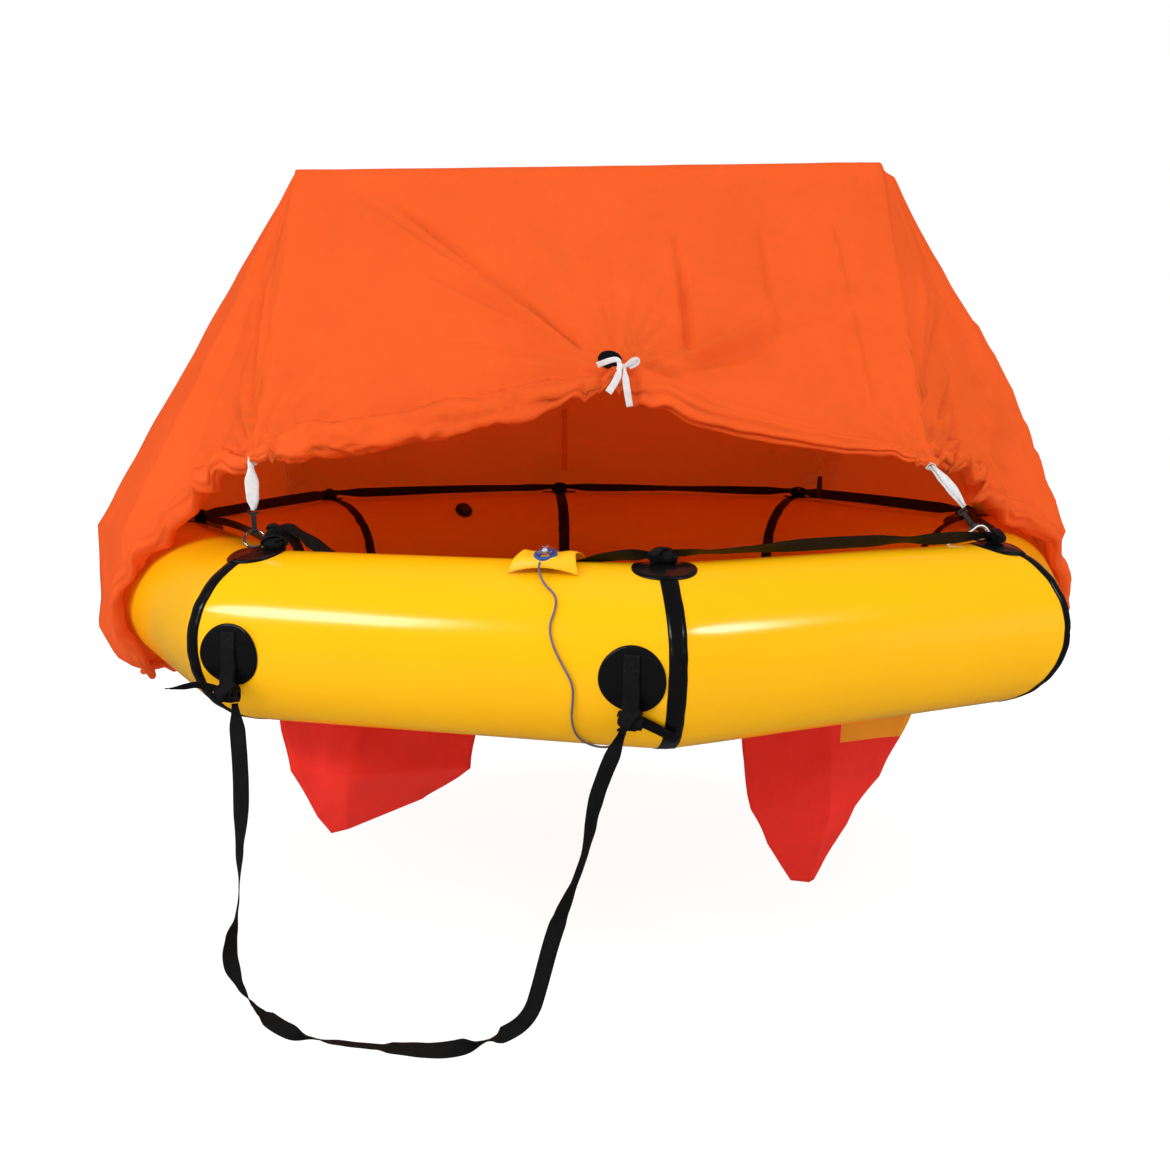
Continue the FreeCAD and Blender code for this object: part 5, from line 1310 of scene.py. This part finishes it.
def makeSideLoop(side):
    axisOut, axisAlong = sideAxes(7)[:2]
    route = [sideArc(side, angle, 0.0012) for angle in (11.0, 7.0, 3.0, -1.0, -6.0, -11.0)]
    route += [sidePoint(side, sideSizes["skin"] + lift, 0.0, z)
              for lift, z in ((0.003, -0.044), (0.0045, -0.06))]
    line = splinePoints(route, 44)
    upperBand = bandAlong("webbing_loop_" + side, line, lambda i, t: axisAlong, sideSizes["webWidth"], 0.0018,
                          finish["webbing"])
    fold = splinePoints([sideArc(side, angle, 0.0034) for angle in (1.0, -3.0, -7.0, -12.0)]
                        + [sidePoint(side, sideSizes["skin"] + 0.0075, 0.0, -0.044),
                           sidePoint(side, sideSizes["skin"] + 0.0085, 0.0, -0.06)], 30)
    lowerBand = bandAlong("fold_" + side, fold, lambda i, t: axisAlong, sideSizes["webWidth"] * 0.98, 0.0018,
                          finish["webbing"])
    loop = joinPieces("webbing_loop_" + side, [upperBand, lowerBand])
    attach(loop, "raft")
    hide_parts("webbing_loop_" + side)
    centre = sidePoint(side, sideSizes["skin"] + 0.003, 0.0, -0.068)
    base = axesAt(centre, axisAlong.cross(axisOut), axisOut)
    pieces = makeKnot("strapKnot_" + side, base, {"length": 0.038, "radius": 0.0125, "fold": 0.0046},
                      1.1 if side == "left" else 2.3)
    if side == "left":
        route = [sidePoint(side, sideSizes["skin"] + lift, along, z)
                 for lift, along, z in ((0.004, -0.006, -0.066), (0.006, -0.03, -0.06),
                                        (0.01, -0.056, -0.057), (0.012, -0.086, -0.066),
                                        (0.01, -0.104, -0.068))]
        pieces.append(tailBand("tail_" + side, route, [(0, 70), (0.3, 58), (0.6, 40), (1, 12)], 0.02,
                               widths=((0.0, 0.6), (0.3, 0.9), (0.7, 0.8), (1.0, 0.7))))
    else:
        route = [sideArc(side, angle, 0.0022, along)
                 for angle, along in ((-29.0, 0.006), (-31.5, 0.016), (-34.5, 0.028), (-38.0, 0.04),
                                      (-41.0, 0.05), (-44.0, 0.058))]
        line = splinePoints(route, 30)
        pieces.append(bandAlong("tail_" + side, line, lambda i, t: t.cross(sideArcNormal(i / 30)), 0.022,
                                0.0017, finish["webbing"], crumple=0.0003))
    knot = joinPieces("strap_knot_" + side, pieces)
    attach(knot, "raft")
    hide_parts("strap_knot_" + side)


def sideArcNormal(share):
    a = math.radians(-29.0 - 15.0 * share)
    return sideAxes(7)[0] * math.cos(a) + Vector((0, 0, math.sin(a)))


for sideName in ("left", "right"):
    makeSideLoop(sideName)
print("side loops built")


# stitches: a geometry nodes tree that lays short threads along lines
def stitchTree():
    tree = bpy.data.node_groups.new("stitches", "GeometryNodeTree")
    face = tree.interface
    face.new_socket(name="Geometry", in_out="INPUT", socket_type="NodeSocketGeometry")
    pitch = face.new_socket(name="Pitch", in_out="INPUT", socket_type="NodeSocketFloat")
    pitch.default_value = 0.004
    length = face.new_socket(name="Stitch Length", in_out="INPUT", socket_type="NodeSocketFloat")
    length.default_value = 0.0028
    thread = face.new_socket(name="Thread", in_out="INPUT", socket_type="NodeSocketFloat")
    thread.default_value = 0.0006
    face.new_socket(name="Material", in_out="INPUT", socket_type="NodeSocketMaterial")
    face.new_socket(name="Geometry", in_out="OUTPUT", socket_type="NodeSocketGeometry")
    nodes, links = tree.nodes, tree.links
    entry, outlet = nodes.new("NodeGroupInput"), nodes.new("NodeGroupOutput")
    toCurve = nodes.new("GeometryNodeMeshToCurve")
    resample = nodes.new("GeometryNodeResampleCurve")
    resample.mode = "LENGTH"
    links.new(entry.outputs["Geometry"], toCurve.inputs["Mesh"])
    links.new(toCurve.outputs["Curve"], resample.inputs["Curve"])
    links.new(entry.outputs["Pitch"], resample.inputs["Length"])
    bead = nodes.new("GeometryNodeMeshIcoSphere")
    bead.inputs["Subdivisions"].default_value = 1
    bead.inputs["Radius"].default_value = 0.5
    size = nodes.new("ShaderNodeCombineXYZ")
    links.new(entry.outputs["Thread"], size.inputs[0])
    links.new(entry.outputs["Thread"], size.inputs[1])
    links.new(entry.outputs["Stitch Length"], size.inputs[2])
    tangent = nodes.new("GeometryNodeInputTangent")
    align = nodes.new("FunctionNodeAlignEulerToVector")
    align.axis = "Z"
    links.new(tangent.outputs[0], align.inputs["Vector"])
    place = nodes.new("GeometryNodeInstanceOnPoints")
    links.new(resample.outputs["Curve"], place.inputs["Points"])
    links.new(bead.outputs["Mesh"], place.inputs["Instance"])
    links.new(align.outputs[0], place.inputs["Rotation"])
    links.new(size.outputs[0], place.inputs["Scale"])
    real = nodes.new("GeometryNodeRealizeInstances")
    links.new(place.outputs[0], real.inputs[0])
    smooth = nodes.new("GeometryNodeSetShadeSmooth")
    links.new(real.outputs[0], smooth.inputs["Geometry"])
    paint = nodes.new("GeometryNodeSetMaterial")
    links.new(smooth.outputs[0], paint.inputs["Geometry"])
    links.new(entry.outputs["Material"], paint.inputs["Material"])
    links.new(paint.outputs[0], outlet.inputs["Geometry"])
    return tree


stitches = stitchTree()


def sewLines(name, lines, pitch, length, thread, material):
    verts, edges = [], []
    for line in lines:
        first = len(verts)
        verts += [tuple(p) for p in line]
        edges += [(first + i, first + i + 1) for i in range(len(line) - 1)]
    mesh = bpy.data.meshes.new(name)
    mesh.from_pydata(verts, edges, [])
    holder = bpy.data.objects.new(name, mesh)
    scene.collection.objects.link(holder)
    modifier = holder.modifiers.new("stitches", "NODES")
    modifier.node_group = stitches
    values = {"Pitch": pitch, "Stitch Length": length, "Thread": thread, "Material": material}
    for item in stitches.interface.items_tree:
        if item.item_type == "SOCKET" and item.in_out == "INPUT" and item.name in values:
            modifier[item.identifier] = values[item.name]
    made = bpy.data.meshes.new_from_object(holder.evaluated_get(bpy.context.evaluated_depsgraph_get()))
    holder.modifiers.remove(modifier)
    holder.data = made
    made.name = name
    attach(holder, "raft")
    return holder


def makeStitching():
    for side in ("left", "right"):
        lines = []
        lift = 0.0023
        corners = [(-0.0095, 10.2), (0.0095, 10.2), (0.0095, 1.6), (-0.0095, 1.6)]
        loops = [(corners[i], corners[(i + 1) % 4]) for i in range(4)]
        loops += [(corners[0], corners[2]), (corners[1], corners[3])]
        for (a0, g0), (a1, g1) in loops:
            lines.append([sideArc(side, g0 + (g1 - g0) * t / 8, lift, a0 + (a1 - a0) * t / 8)
                          for t in range(9)])
        sewLines("boxStitch_" + side, lines, 0.0032, 0.0026, 0.0007, finish["thread"])
    hem = []
    base = canopySizes["arcRows"] + canopySizes["panelRows"] + canopySizes["skirtRows"] - 3
    normals = gridNormals(np.array([[tuple(p) for p in line] for line in canopyLines]))
    for i in range(canopySizes["doorColumns"] + 1, len(canopyLines)):
        hem.append(canopyLines[i][base] + Vector(normals[i][base]) * 0.0008)
    sewLines("hemStitch", [hem], 0.0065, 0.0045, 0.0007, finish["orangeThread"])


makeStitching()
print("stitching built")


# patches: cloth discs that follow the tube, with a soft pucker
patchSizes = {"radius": 0.05, "lift": 0.0019, "rings": 13, "steps": 72}
sidePatchSizes = {"radius": 0.05, "lift": 0.0017, "rings": 15, "steps": 80}


def makeRoundPatch(index):
    seat, normal = patchSeat(index), patchNormal(index)
    axis = polar(cornerAngle(index) + 90.0, 1.0)
    place = axesAt(seat, axis, normal)
    shift = raft["sideShift"] if index in (2, 6) else -raft["patchOut"]
    rows = []
    away = polar(cornerAngle(index), -shift if index not in (2, 6) else 0.0)
    ringAt = polar(cornerAngle(index), raft["ringRadius"] - shift, raft["tubeRadius"])
    s = patchSizes
    for j in range(s["rings"] + 2):
        radius = s["radius"] * min(1.0, (j + 0.02) / s["rings"])
        top = j <= s["rings"]
        row = []
        for i in range(s["steps"]):
            a = 2 * math.pi * i / s["steps"]
            p = place @ Vector((radius * math.cos(a), radius * math.sin(a), 0.0)) + away
            side = (index if (p - ringAt).dot(axis) > 0 else index - 1) % 8
            out, along, middle = sideAxes(side)
            local = p - middle
            angle = math.degrees(math.atan2(local.z, local.dot(out)))
            lift = s["lift"] if top else -0.0006
            lift += 0.0011 * math.sin(3 * a + index * 1.7) * (radius / s["radius"]) ** 2 * (1 if top else 0)
            lift += 0.001 * math.exp(-((radius - 0.042) / 0.004) ** 2)
            row.append(onTube(side, local.dot(along), angle, lift))
        rows.append(row)
    patch = gridMesh("lifeline_patch_" + cornerNames[index], rows, finish["patch"], wrapCols=True)
    closeShell(patch, [range(s["steps"])], normal)
    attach(patch, "raft")
    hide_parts("lifeline_patch_" + cornerNames[index])


for corner in range(8):
    makeRoundPatch(corner)


def makeSidePatch(side):
    out = sideAxes(7)[0]
    rows = []
    s = sidePatchSizes
    for j in range(s["rings"] + 2):
        radius = s["radius"] * min(1.0, (j + 0.02) / s["rings"])
        share = radius / s["radius"]
        row = []
        for i in range(s["steps"]):
            a = 2 * math.pi * i / s["steps"]
            run, rise = radius * math.cos(a), radius * math.sin(a)
            angle = -4.0 + math.degrees(rise / raft["tubeRadius"])
            # the left patch stands off a little at one place of its rim
            wave = 0.0 if side == "right" else 0.0042 * math.exp(-(((a - 0.85) / 0.42) ** 2)) * share ** 3
            lift = s["lift"] + wave + 0.0007 * math.sin(4 * a + 1.0) * share ** 2
            if j > s["rings"]:
                lift = -0.0006
            row.append(onTube(7, sideSizes[side] + run, angle, lift))
        rows.append(row)
    patch = gridMesh("side_patch_" + side, rows, finish["patch"], wrapCols=True)
    closeShell(patch, [range(s["steps"])], out)
    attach(patch, "raft")
    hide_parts("side_patch_" + side)


for sideName in ("left", "right"):
    makeSidePatch(sideName)
print("patches built")


# ties, ribbon and disc of the rolled door
def tieBand(name, route, turns, width, steps=30, facing=Vector((0.1, -1.0, 0.15)), thick=0.0011, widths=None):
    line = splinePoints(route, steps)

    def across(i, tangent):
        flat = tangent.cross(facing).normalized()
        return Matrix.Rotation(turnAt(turns, i / steps), 3, tangent) @ flat
    return bandAlong(name, line, across, width, thick, finish["ribbon"], crumple=0.0003, widths=widths)


def makeTies():
    left = [(-0.6395, -0.5945, 0.344), (-0.64, -0.594, 0.37), (-0.642, -0.59, 0.4), (-0.644, -0.583, 0.42),
            (-0.6445, -0.5775, 0.433)]
    right = [(0.588, -0.581, 0.34), (0.578, -0.574, 0.358), (0.56, -0.56, 0.385), (0.543, -0.545, 0.406),
             (0.536, -0.539, 0.416)]
    fold = [(-0.6435, -0.578, 0.413), (-0.647, -0.58, 0.423), (-0.64, -0.585, 0.427), (-0.631, -0.582, 0.424),
            (-0.638, -0.579, 0.42)]
    leftWidths = ((0.0, 0.3), (0.22, 0.9), (0.5, 1.0), (0.8, 0.35), (1.0, 0.3))
    rightWidths = ((0.0, 0.35), (0.4, 1.0), (0.6, 0.95), (0.85, 0.5), (1.0, 0.4))
    # two layers to each tie, the second a little behind or in front of the first
    pieces = [tieBand("tieA", left, [(0, 0), (0.5, 12), (1, 4)], 0.0225, widths=leftWidths),
              tieBand("tieB", moved(left, (0.0025, 0.004, 0.0)), [(0, 14), (1, -6)], 0.018,
                      widths=leftWidths), tieBand("tieFold", fold, [(0, 20), (1, -20)], 0.007, 20)]
    tie = joinPieces("tie_tape_left", pieces)
    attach(tie, "raft")
    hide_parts("tie_tape_left")
    pieces = [tieBand("tieC", right, [(0, 0), (0.5, 18), (1, 6)], 0.019, widths=rightWidths),
              tieBand("tieD", moved(right, (0.002, -0.0025, 0.0035)), [(0, -20), (1, 14)], 0.015,
                      widths=rightWidths)]
    knot = []
    for i in range(27):
        a = 2 * math.pi * 1.4 * i / 26
        knot.append(Vector((0.539 + 0.0065 * math.cos(a), -0.544 + 0.004 * math.sin(a * 0.7),
                            0.411 + 0.005 * math.sin(a))))
    pieces.append(bandAlong("tieKnot", knot, lambda i, t: Vector((0.3, -1.0, 0.2)), 0.008, 0.0014,
                            finish["ribbon"]))
    # thin cord wound from the tie round the ring to the lifeline
    wrap = [(0.5445, -0.625, 0.2826), (0.567, -0.622, 0.2926), (0.587, -0.62, 0.302), (0.595, -0.616, 0.306),
            (0.6, -0.615, 0.3105), (0.61, -0.615, 0.312), (0.618, -0.616, 0.307), (0.624, -0.619, 0.296),
            (0.614, -0.624, 0.29), (0.599, -0.624, 0.296), (0.59, -0.622, 0.2985), (0.57, -0.6235, 0.289),
            (0.543, -0.627, 0.2795)]
    pieces.append(roundCord("tieCord", wrap, 0.003, 90, finish["cord"]))
    tie = joinPieces("tie_tape_right", pieces)
    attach(tie, "raft")
    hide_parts("tie_tape_right")


def roundCord(name, route, diameter, steps, material, sides=10):
    line = splinePoints(route, steps)
    rows, runs = [], [0.0]
    angles = [2 * math.pi * k / sides for k in range(sides)]
    side = None
    for i, p in enumerate(line):
        tangent = (line[min(i + 1, len(line) - 1)] - line[max(i - 1, 0)]).normalized()
        if side is None:
            side = tangent.orthogonal().normalized()
        side = (side - tangent * side.dot(tangent)).normalized()
        other = tangent.cross(side)
        if i:
            runs.append(runs[-1] + (p - line[i - 1]).length)
        rows.append([p + (side * math.cos(a) + other * math.sin(a)) * (diameter / 2) for a in angles])
    piece = gridMesh(name, rows, material, wrapCols=True,
                     uvRows=lambda a, b: (runs[a], b * diameter * math.pi / sides))
    return closeShell(piece, (range(sides), [len(rows) * sides - 1 - k for k in range(sides)]))


def makeDoorBow():
    # bow of white ribbon at the top of the door
    # places in metres and the turn of the ribbon, its width and how it is drawn together
    narrow = ((0.0, 0.5), (0.35, 1.0), (1.0, 1.0))
    lines = {
        "bowBand": ([(-0.048, -0.436, 0.59), (-0.033, -0.446, 0.596), (-0.0185, -0.456, 0.6005),
                     (-0.01, -0.466, 0.596), (-0.0135, -0.474, 0.583)],
                    [(0, 8), (0.6, -6), (1, -30)], 0.0105, None),
        "bowKnot": ([(-0.0165, -0.476, 0.587), (-0.011, -0.483, 0.586), (-0.005, -0.479, 0.583),
                     (-0.008, -0.471, 0.58)], [(0, 0), (1, 25)], 0.0125, None),
        "bowTailLeft": ([(-0.0115, -0.48, 0.585), (-0.016, -0.486, 0.569), (-0.026, -0.489, 0.552),
                         (-0.0345, -0.4905, 0.5405)], [(0, 10), (0.5, 0), (1, 8)], 0.013, narrow),
        "bowLoop": ([(-0.008, -0.478, 0.5845), (0.002, -0.476, 0.59), (0.015, -0.47, 0.5985),
                     (0.0215, -0.466, 0.598), (0.018, -0.464, 0.5915), (0.004, -0.472, 0.586)],
                    [(0, 30), (0.5, 14), (1, 26)], 0.0115, narrow),
        "bowTailRight": ([(-0.005, -0.479, 0.584), (-0.0035, -0.486, 0.57), (-0.002, -0.49, 0.55),
                          (0.004, -0.492, 0.516)], [(0, 50), (0.4, 20), (1, 0)], 0.0125, narrow)}
    pieces = [tieBand(name, route, turns, width, widths=widths)
              for name, (route, turns, width, widths) in lines.items()]
    bow = joinPieces("door_ribbon", pieces)
    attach(bow, "raft")
    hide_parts("door_ribbon")


def makeRearTies():
    line = splinePoints([(-0.002, 0.7055, 0.515), (-0.002, 0.702, 0.47), (-0.001, 0.699, 0.42),
                         (-0.003, 0.6975, 0.38), (-0.002, 0.7, 0.345)], 40)
    tape = bandAlong("window_tape", line, lambda i, t: Vector((1.0, 0.12 * math.sin(i * 0.2), 0)), 0.014,
                     0.0012, finish["orangeTape"], crumple=0.0004)
    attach(tape, "raft")
    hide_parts("window_tape")
    right = roundCord("ventCordRight", [(0.6665, 0.636, 0.396), (0.664, 0.605, 0.386), (0.658, 0.56, 0.368),
                                        (0.65, 0.52, 0.35), (0.64, 0.4888, 0.33)], 0.003, 50, finish["cord"])
    left = roundCord("ventCordLeft",
                     [(-0.729, 0.601, 0.388), (-0.724, 0.6015, 0.355), (-0.712, 0.6, 0.315),
                      (-0.703, 0.599, 0.29), (-0.7, 0.598, 0.2745)], 0.003, 40, finish["cord"])
    cords = joinPieces("vent_cords", [right, left])
    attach(cords, "raft")
    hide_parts("vent_cords")


makeTies()
makeDoorBow()
makeRearTies()
print("ties built")


# light: flap of tube cloth, base, bulb and clear dome
def lightPoint(out, run, z):
    axisOut, axisAlong, middle = sideAxes(7)
    return middle + axisAlong * (0.167 + run) + axisOut * out + Vector((0, 0, z))


def makeLightFlap():
    section = [(0.064, 0.1262), (0.0632, 0.13), (0.0622, 0.1365), (0.059, 0.144), (0.05, 0.15),
               (0.039, 0.1548), (0.022, 0.1572), (0.006, 0.1545), (-0.008, 0.147), (-0.022, 0.1388)]
    line = splinePoints([(a, b, 0) for a, b in section], 34)
    rows = []
    for i, p in enumerate(line):
        t = i / (len(line) - 1)
        row = []
        for k in range(37):
            u = 2.0 * k / 36 - 1.0
            half = 0.056 - 0.013 * min(t / 0.4, 1.0)
            arch = 0.0105 * (1 - u * u) * math.exp(-(t / 0.3) ** 2)
            ripple = 0.0014 * math.sin(7 * u + 5 * t) * math.sin(math.pi * min(t * 1.2, 1.0))
            point = lightPoint(p.x + 0.004 * (1 - u * u) * (1 - t), u * half, p.y + arch + ripple)
            away = Vector((p.x, p.y, 0)).length
            keep = raft["tubeRadius"] + 0.0014
            if away < keep:
                point = lightPoint(p.x * keep / away, u * half, p.y * keep / away)
            row.append(point)
        rows.append(row)
    flap = gridMesh("light_flap", rows, finish["flap"])
    solid = flap.modifiers.new("cloth", "SOLIDIFY")
    solid.thickness = 0.001
    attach(flap, "raft")
    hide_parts("light_flap")


def turned(name, profile, place, material, steps=48):
    rows = [[place @ Vector((r * math.cos(2 * math.pi * k / steps), r * math.sin(2 * math.pi * k / steps), z))
             for k in range(steps)] for r, z in profile]
    return closeShell(gridMesh(name, rows, material, wrapCols=True), merge=1e-6)


def makeLamp():
    axisOut, axisAlong = sideAxes(7)[:2]
    normal = axisOut * 18.0 + Vector((0, 0, 45.0))
    seat = lightPoint(0.0475, 0.0, 0.148)
    place = axesAt(seat, axisAlong, normal)
    blue = newMaterial("bluePlastic", (0.02, 0.075, 0.3), 0.35)[0]
    base = turned("light_base",
                  [(0.0002, 0.004), (0.012, 0.004), (0.0172, 0.0045), (0.018, 0.006), (0.018, 0.0092),
                   (0.017, 0.0106), (0.014, 0.011), (0.0136, 0.0098), (0.0002, 0.0098)], place, blue)
    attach(base, "raft")
    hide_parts("light_base")
    outer = [(0.012 * math.cos(math.radians(a)), 0.0098 + 0.003 + 0.0105 * math.sin(math.radians(a)))
             for a in range(0, 90, 9)]
    inner = [(r * 0.86, 0.0098 + (z - 0.0098) * 0.88) for r, z in reversed(outer)]
    profile = [(0.012, 0.01)] + outer + [(0.0003, outer[-1][1] + 0.0002), (0.0003, inner[0][1])]
    profile += inner + [(0.0103, 0.01)]
    clear = newMaterial("clearDome", (0.95, 0.97, 1.0), 0.04, **{"Transmission Weight": 1.0, "IOR": 1.46})[0]
    dome = turned("light_dome", profile, place, clear)
    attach(dome, "raft")
    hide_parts("light_dome")
    white = newMaterial("bulbGlass", (0.85, 0.86, 0.88), 0.15)[0]
    red = newMaterial("bulbFoot", (0.45, 0.04, 0.03), 0.3)[0]
    bulb = turned("bulbBody",
                  [(0.0002, 0.01), (0.004, 0.0101), (0.0042, 0.015), (0.0036, 0.0172), (0.0018, 0.0186),
                   (0.0002, 0.0189)], place, white, 24)
    foot = turned("bulbFoot", [(0.0002, 0.0099), (0.0062, 0.0099), (0.0066, 0.0112), (0.0046, 0.0126),
                               (0.0044, 0.0126)], place, red, 24)
    bulb = joinPieces("light_bulb", [bulb, foot])
    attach(bulb, "raft")
    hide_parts("light_bulb")


makeLightFlap()
makeLamp()
print("light built")


# finishes of the pieces that keep their solids
def gritty(name, color, roughness, scale, spread, strength, distance, **settings):
    material, nodes, links, shader = newMaterial(name, color, roughness, **settings)
    coord = nodes.new("ShaderNodeTexCoord")
    speckle = nodes.new("ShaderNodeTexNoise")
    speckle.inputs["Scale"].default_value = scale
    speckle.inputs["Detail"].default_value = 5.0
    links.new(coord.outputs["Object"], speckle.inputs["Vector"])
    links.new(toneRamp(nodes, links, speckle.outputs["Fac"], scaled(color, 1 - spread),
                       scaled(color, 1 + spread)), shader.inputs["Base Color"])
    bumpFrom(nodes, links, speckle.outputs["Fac"], shader, strength, distance)
    return material


solidFinish = {
    "black_plastic": gritty("blackPlastic", (0.018, 0.018, 0.02), 0.38, 240.0, 0.15, 0.2, 0.0004),
    "steel": gritty("steel", (0.52, 0.52, 0.54), 0.24, 320.0, 0.06, 0.08, 0.0002, Metallic=1.0),
    "white_plastic": gritty("whitePlastic", (0.8, 0.8, 0.8), 0.35, 200.0, 0.04, 0.1, 0.0003),
    "grey_plastic": gritty("greyPlastic", (0.16, 0.17, 0.18), 0.45, 160.0, 0.1, 0.25, 0.0005),
    "cylinder_paint": gritty("cylinderPaint", (0.2, 0.215, 0.225), 0.38, 60.0, 0.06, 0.15, 0.0006),
    "brass": gritty("brass", (0.66, 0.46, 0.17), 0.3, 180.0, 0.08, 0.1, 0.0003, Metallic=1.0),
    "red_plastic": gritty("redPlastic", (0.62, 0.03, 0.022), 0.4, 160.0, 0.06, 0.15, 0.0004),
    "hose_rubber": gritty("hoseRubber", (0.022, 0.022, 0.023), 0.6, 120.0, 0.12, 0.3, 0.0006),
    "tube_cloth": finish["tube"], "black_patch": finish["patch"], "black_webbing": finish["webbing"]}
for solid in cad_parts.values():
    for place in solid.material_slots:
        slotName = place.material.name.split(".")[0] if place.material else ""
        if slotName in solidFinish:
            place.material = solidFinish[slotName]


def makeSpring():
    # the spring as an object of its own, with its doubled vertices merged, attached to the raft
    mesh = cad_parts["valve_spring"].data.copy()
    mesh.name = "valve_coil"
    work = bmesh.new()
    work.from_mesh(mesh)
    bmesh.ops.remove_doubles(work, verts=work.verts[:], dist=1e-6)
    work.to_mesh(mesh)
    work.free()
    spring = bpy.data.objects.new("valve_coil", mesh)
    scene.collection.objects.link(spring)
    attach(spring, "raft")
    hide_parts("valve_spring")
    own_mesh(spring)


makeSpring()
print("finishes set")


# stage and lamps
stage = {"height": -0.56, "size": 14.0}


def makeStage():
    h, w = stage["height"], stage["size"]
    material, nodes, links, shader = newMaterial("stage", (0.8, 0.8, 0.8), 1.0, **{"Specular IOR Level": 0.0})
    path = nodes.new("ShaderNodeLightPath")
    glow = nodes.new("ShaderNodeEmission")
    glow.inputs["Strength"].default_value = 1.3
    seen = nodes.new("ShaderNodeMath")
    seen.operation = "MULTIPLY"
    links.new(path.outputs["Is Camera Ray"], seen.inputs[0])
    # the share of plain white grows away from the raft, so that no horizon shows and the shadow stays
    coord = nodes.new("ShaderNodeTexCoord")
    reach = nodes.new("ShaderNodeVectorMath")
    reach.operation = "LENGTH"
    links.new(coord.outputs["Object"], reach.inputs[0])
    spread = nodes.new("ShaderNodeMapRange")
    for slot, value in zip(("From Min", "From Max", "To Min", "To Max"), (1.3, 3.2, 0.68, 1.0)):
        spread.inputs[slot].default_value = value
    links.new(reach.outputs["Value"], spread.inputs["Value"])
    links.new(spread.outputs[0], seen.inputs[1])
    mix = nodes.new("ShaderNodeMixShader")
    links.new(seen.outputs[0], mix.inputs[0])
    links.new(shader.outputs[0], mix.inputs[1])
    links.new(glow.outputs[0], mix.inputs[2])
    links.new(mix.outputs[0], nodes["Material Output"].inputs["Surface"])
    floor = addMesh("stage", [(-w, -w, h), (w, -w, h), (w, w, h), (-w, w, h)], [(0, 1, 2, 3)], material,
                    None, False)
    floor.visible_glossy = False


makeStage()


def makeWorld():
    # white to the camera, and a dark room to reflections, so that black stays black
    world = bpy.data.worlds.new("world")
    scene.world = world
    world.use_nodes = True
    nodes, links = world.node_tree.nodes, world.node_tree.links
    nodes["Background"].inputs["Color"].default_value = (1.0, 1.0, 1.0, 1.0)
    path = nodes.new("ShaderNodeLightPath")
    level = None
    for ray, strength in (("Is Glossy Ray", 0.08), ("Is Camera Ray", 1.0)):
        mix = nodes.new("ShaderNodeMix")
        mix.data_type = "FLOAT"
        mix.inputs[2].default_value = 0.36
        mix.inputs[3].default_value = strength
        links.new(path.outputs[ray], mix.inputs[0])
        if level is not None:
            links.new(level, mix.inputs[2])
        level = mix.outputs[0]
    links.new(level, nodes["Background"].inputs["Strength"])


makeWorld()


def addLamp(name, place, target, energy, width, height):
    data = bpy.data.lights.new(name, "AREA")
    data.shape = "RECTANGLE"
    data.size = width
    data.size_y = height
    data.energy = energy
    lamp = bpy.data.objects.new(name, data)
    forward = (Vector(target) - Vector(place)).normalized()
    lamp.matrix_world = axesAt(Vector(place), forward.cross(Vector((0, 0, 1))), -forward)
    scene.collection.objects.link(lamp)
    return lamp


addLamp("keyLamp", (-2.83, -2.28, 1.98), (-0.5, -0.72, 0.25), 34.0, 1.05, 0.62)
addLamp("smallLamp", (2.8, -2.4, 2.05), (0.05, -0.87, 0.25), 16.0, 0.45, 0.5)
soft = [addLamp("frontLamp", (-0.4, -5.4, 4.0), (0, 0, 0.3), 190.0, 5.0, 3.0),
        addLamp("topLamp", (0.0, 0.3, 4.2), (0, 0, 0.3), 62.0, 3.6, 3.6),
        addLamp("leftLamp", (-4.2, -1.2, 0.35), (0, 0, 0.1), 46.0, 3.0, 1.4),
        addLamp("rightLamp", (4.2, -1.2, 0.35), (0, 0, 0.1), 46.0, 3.0, 1.4)]
for lamp in soft:
    lamp.visible_glossy = False
print("lamps set")
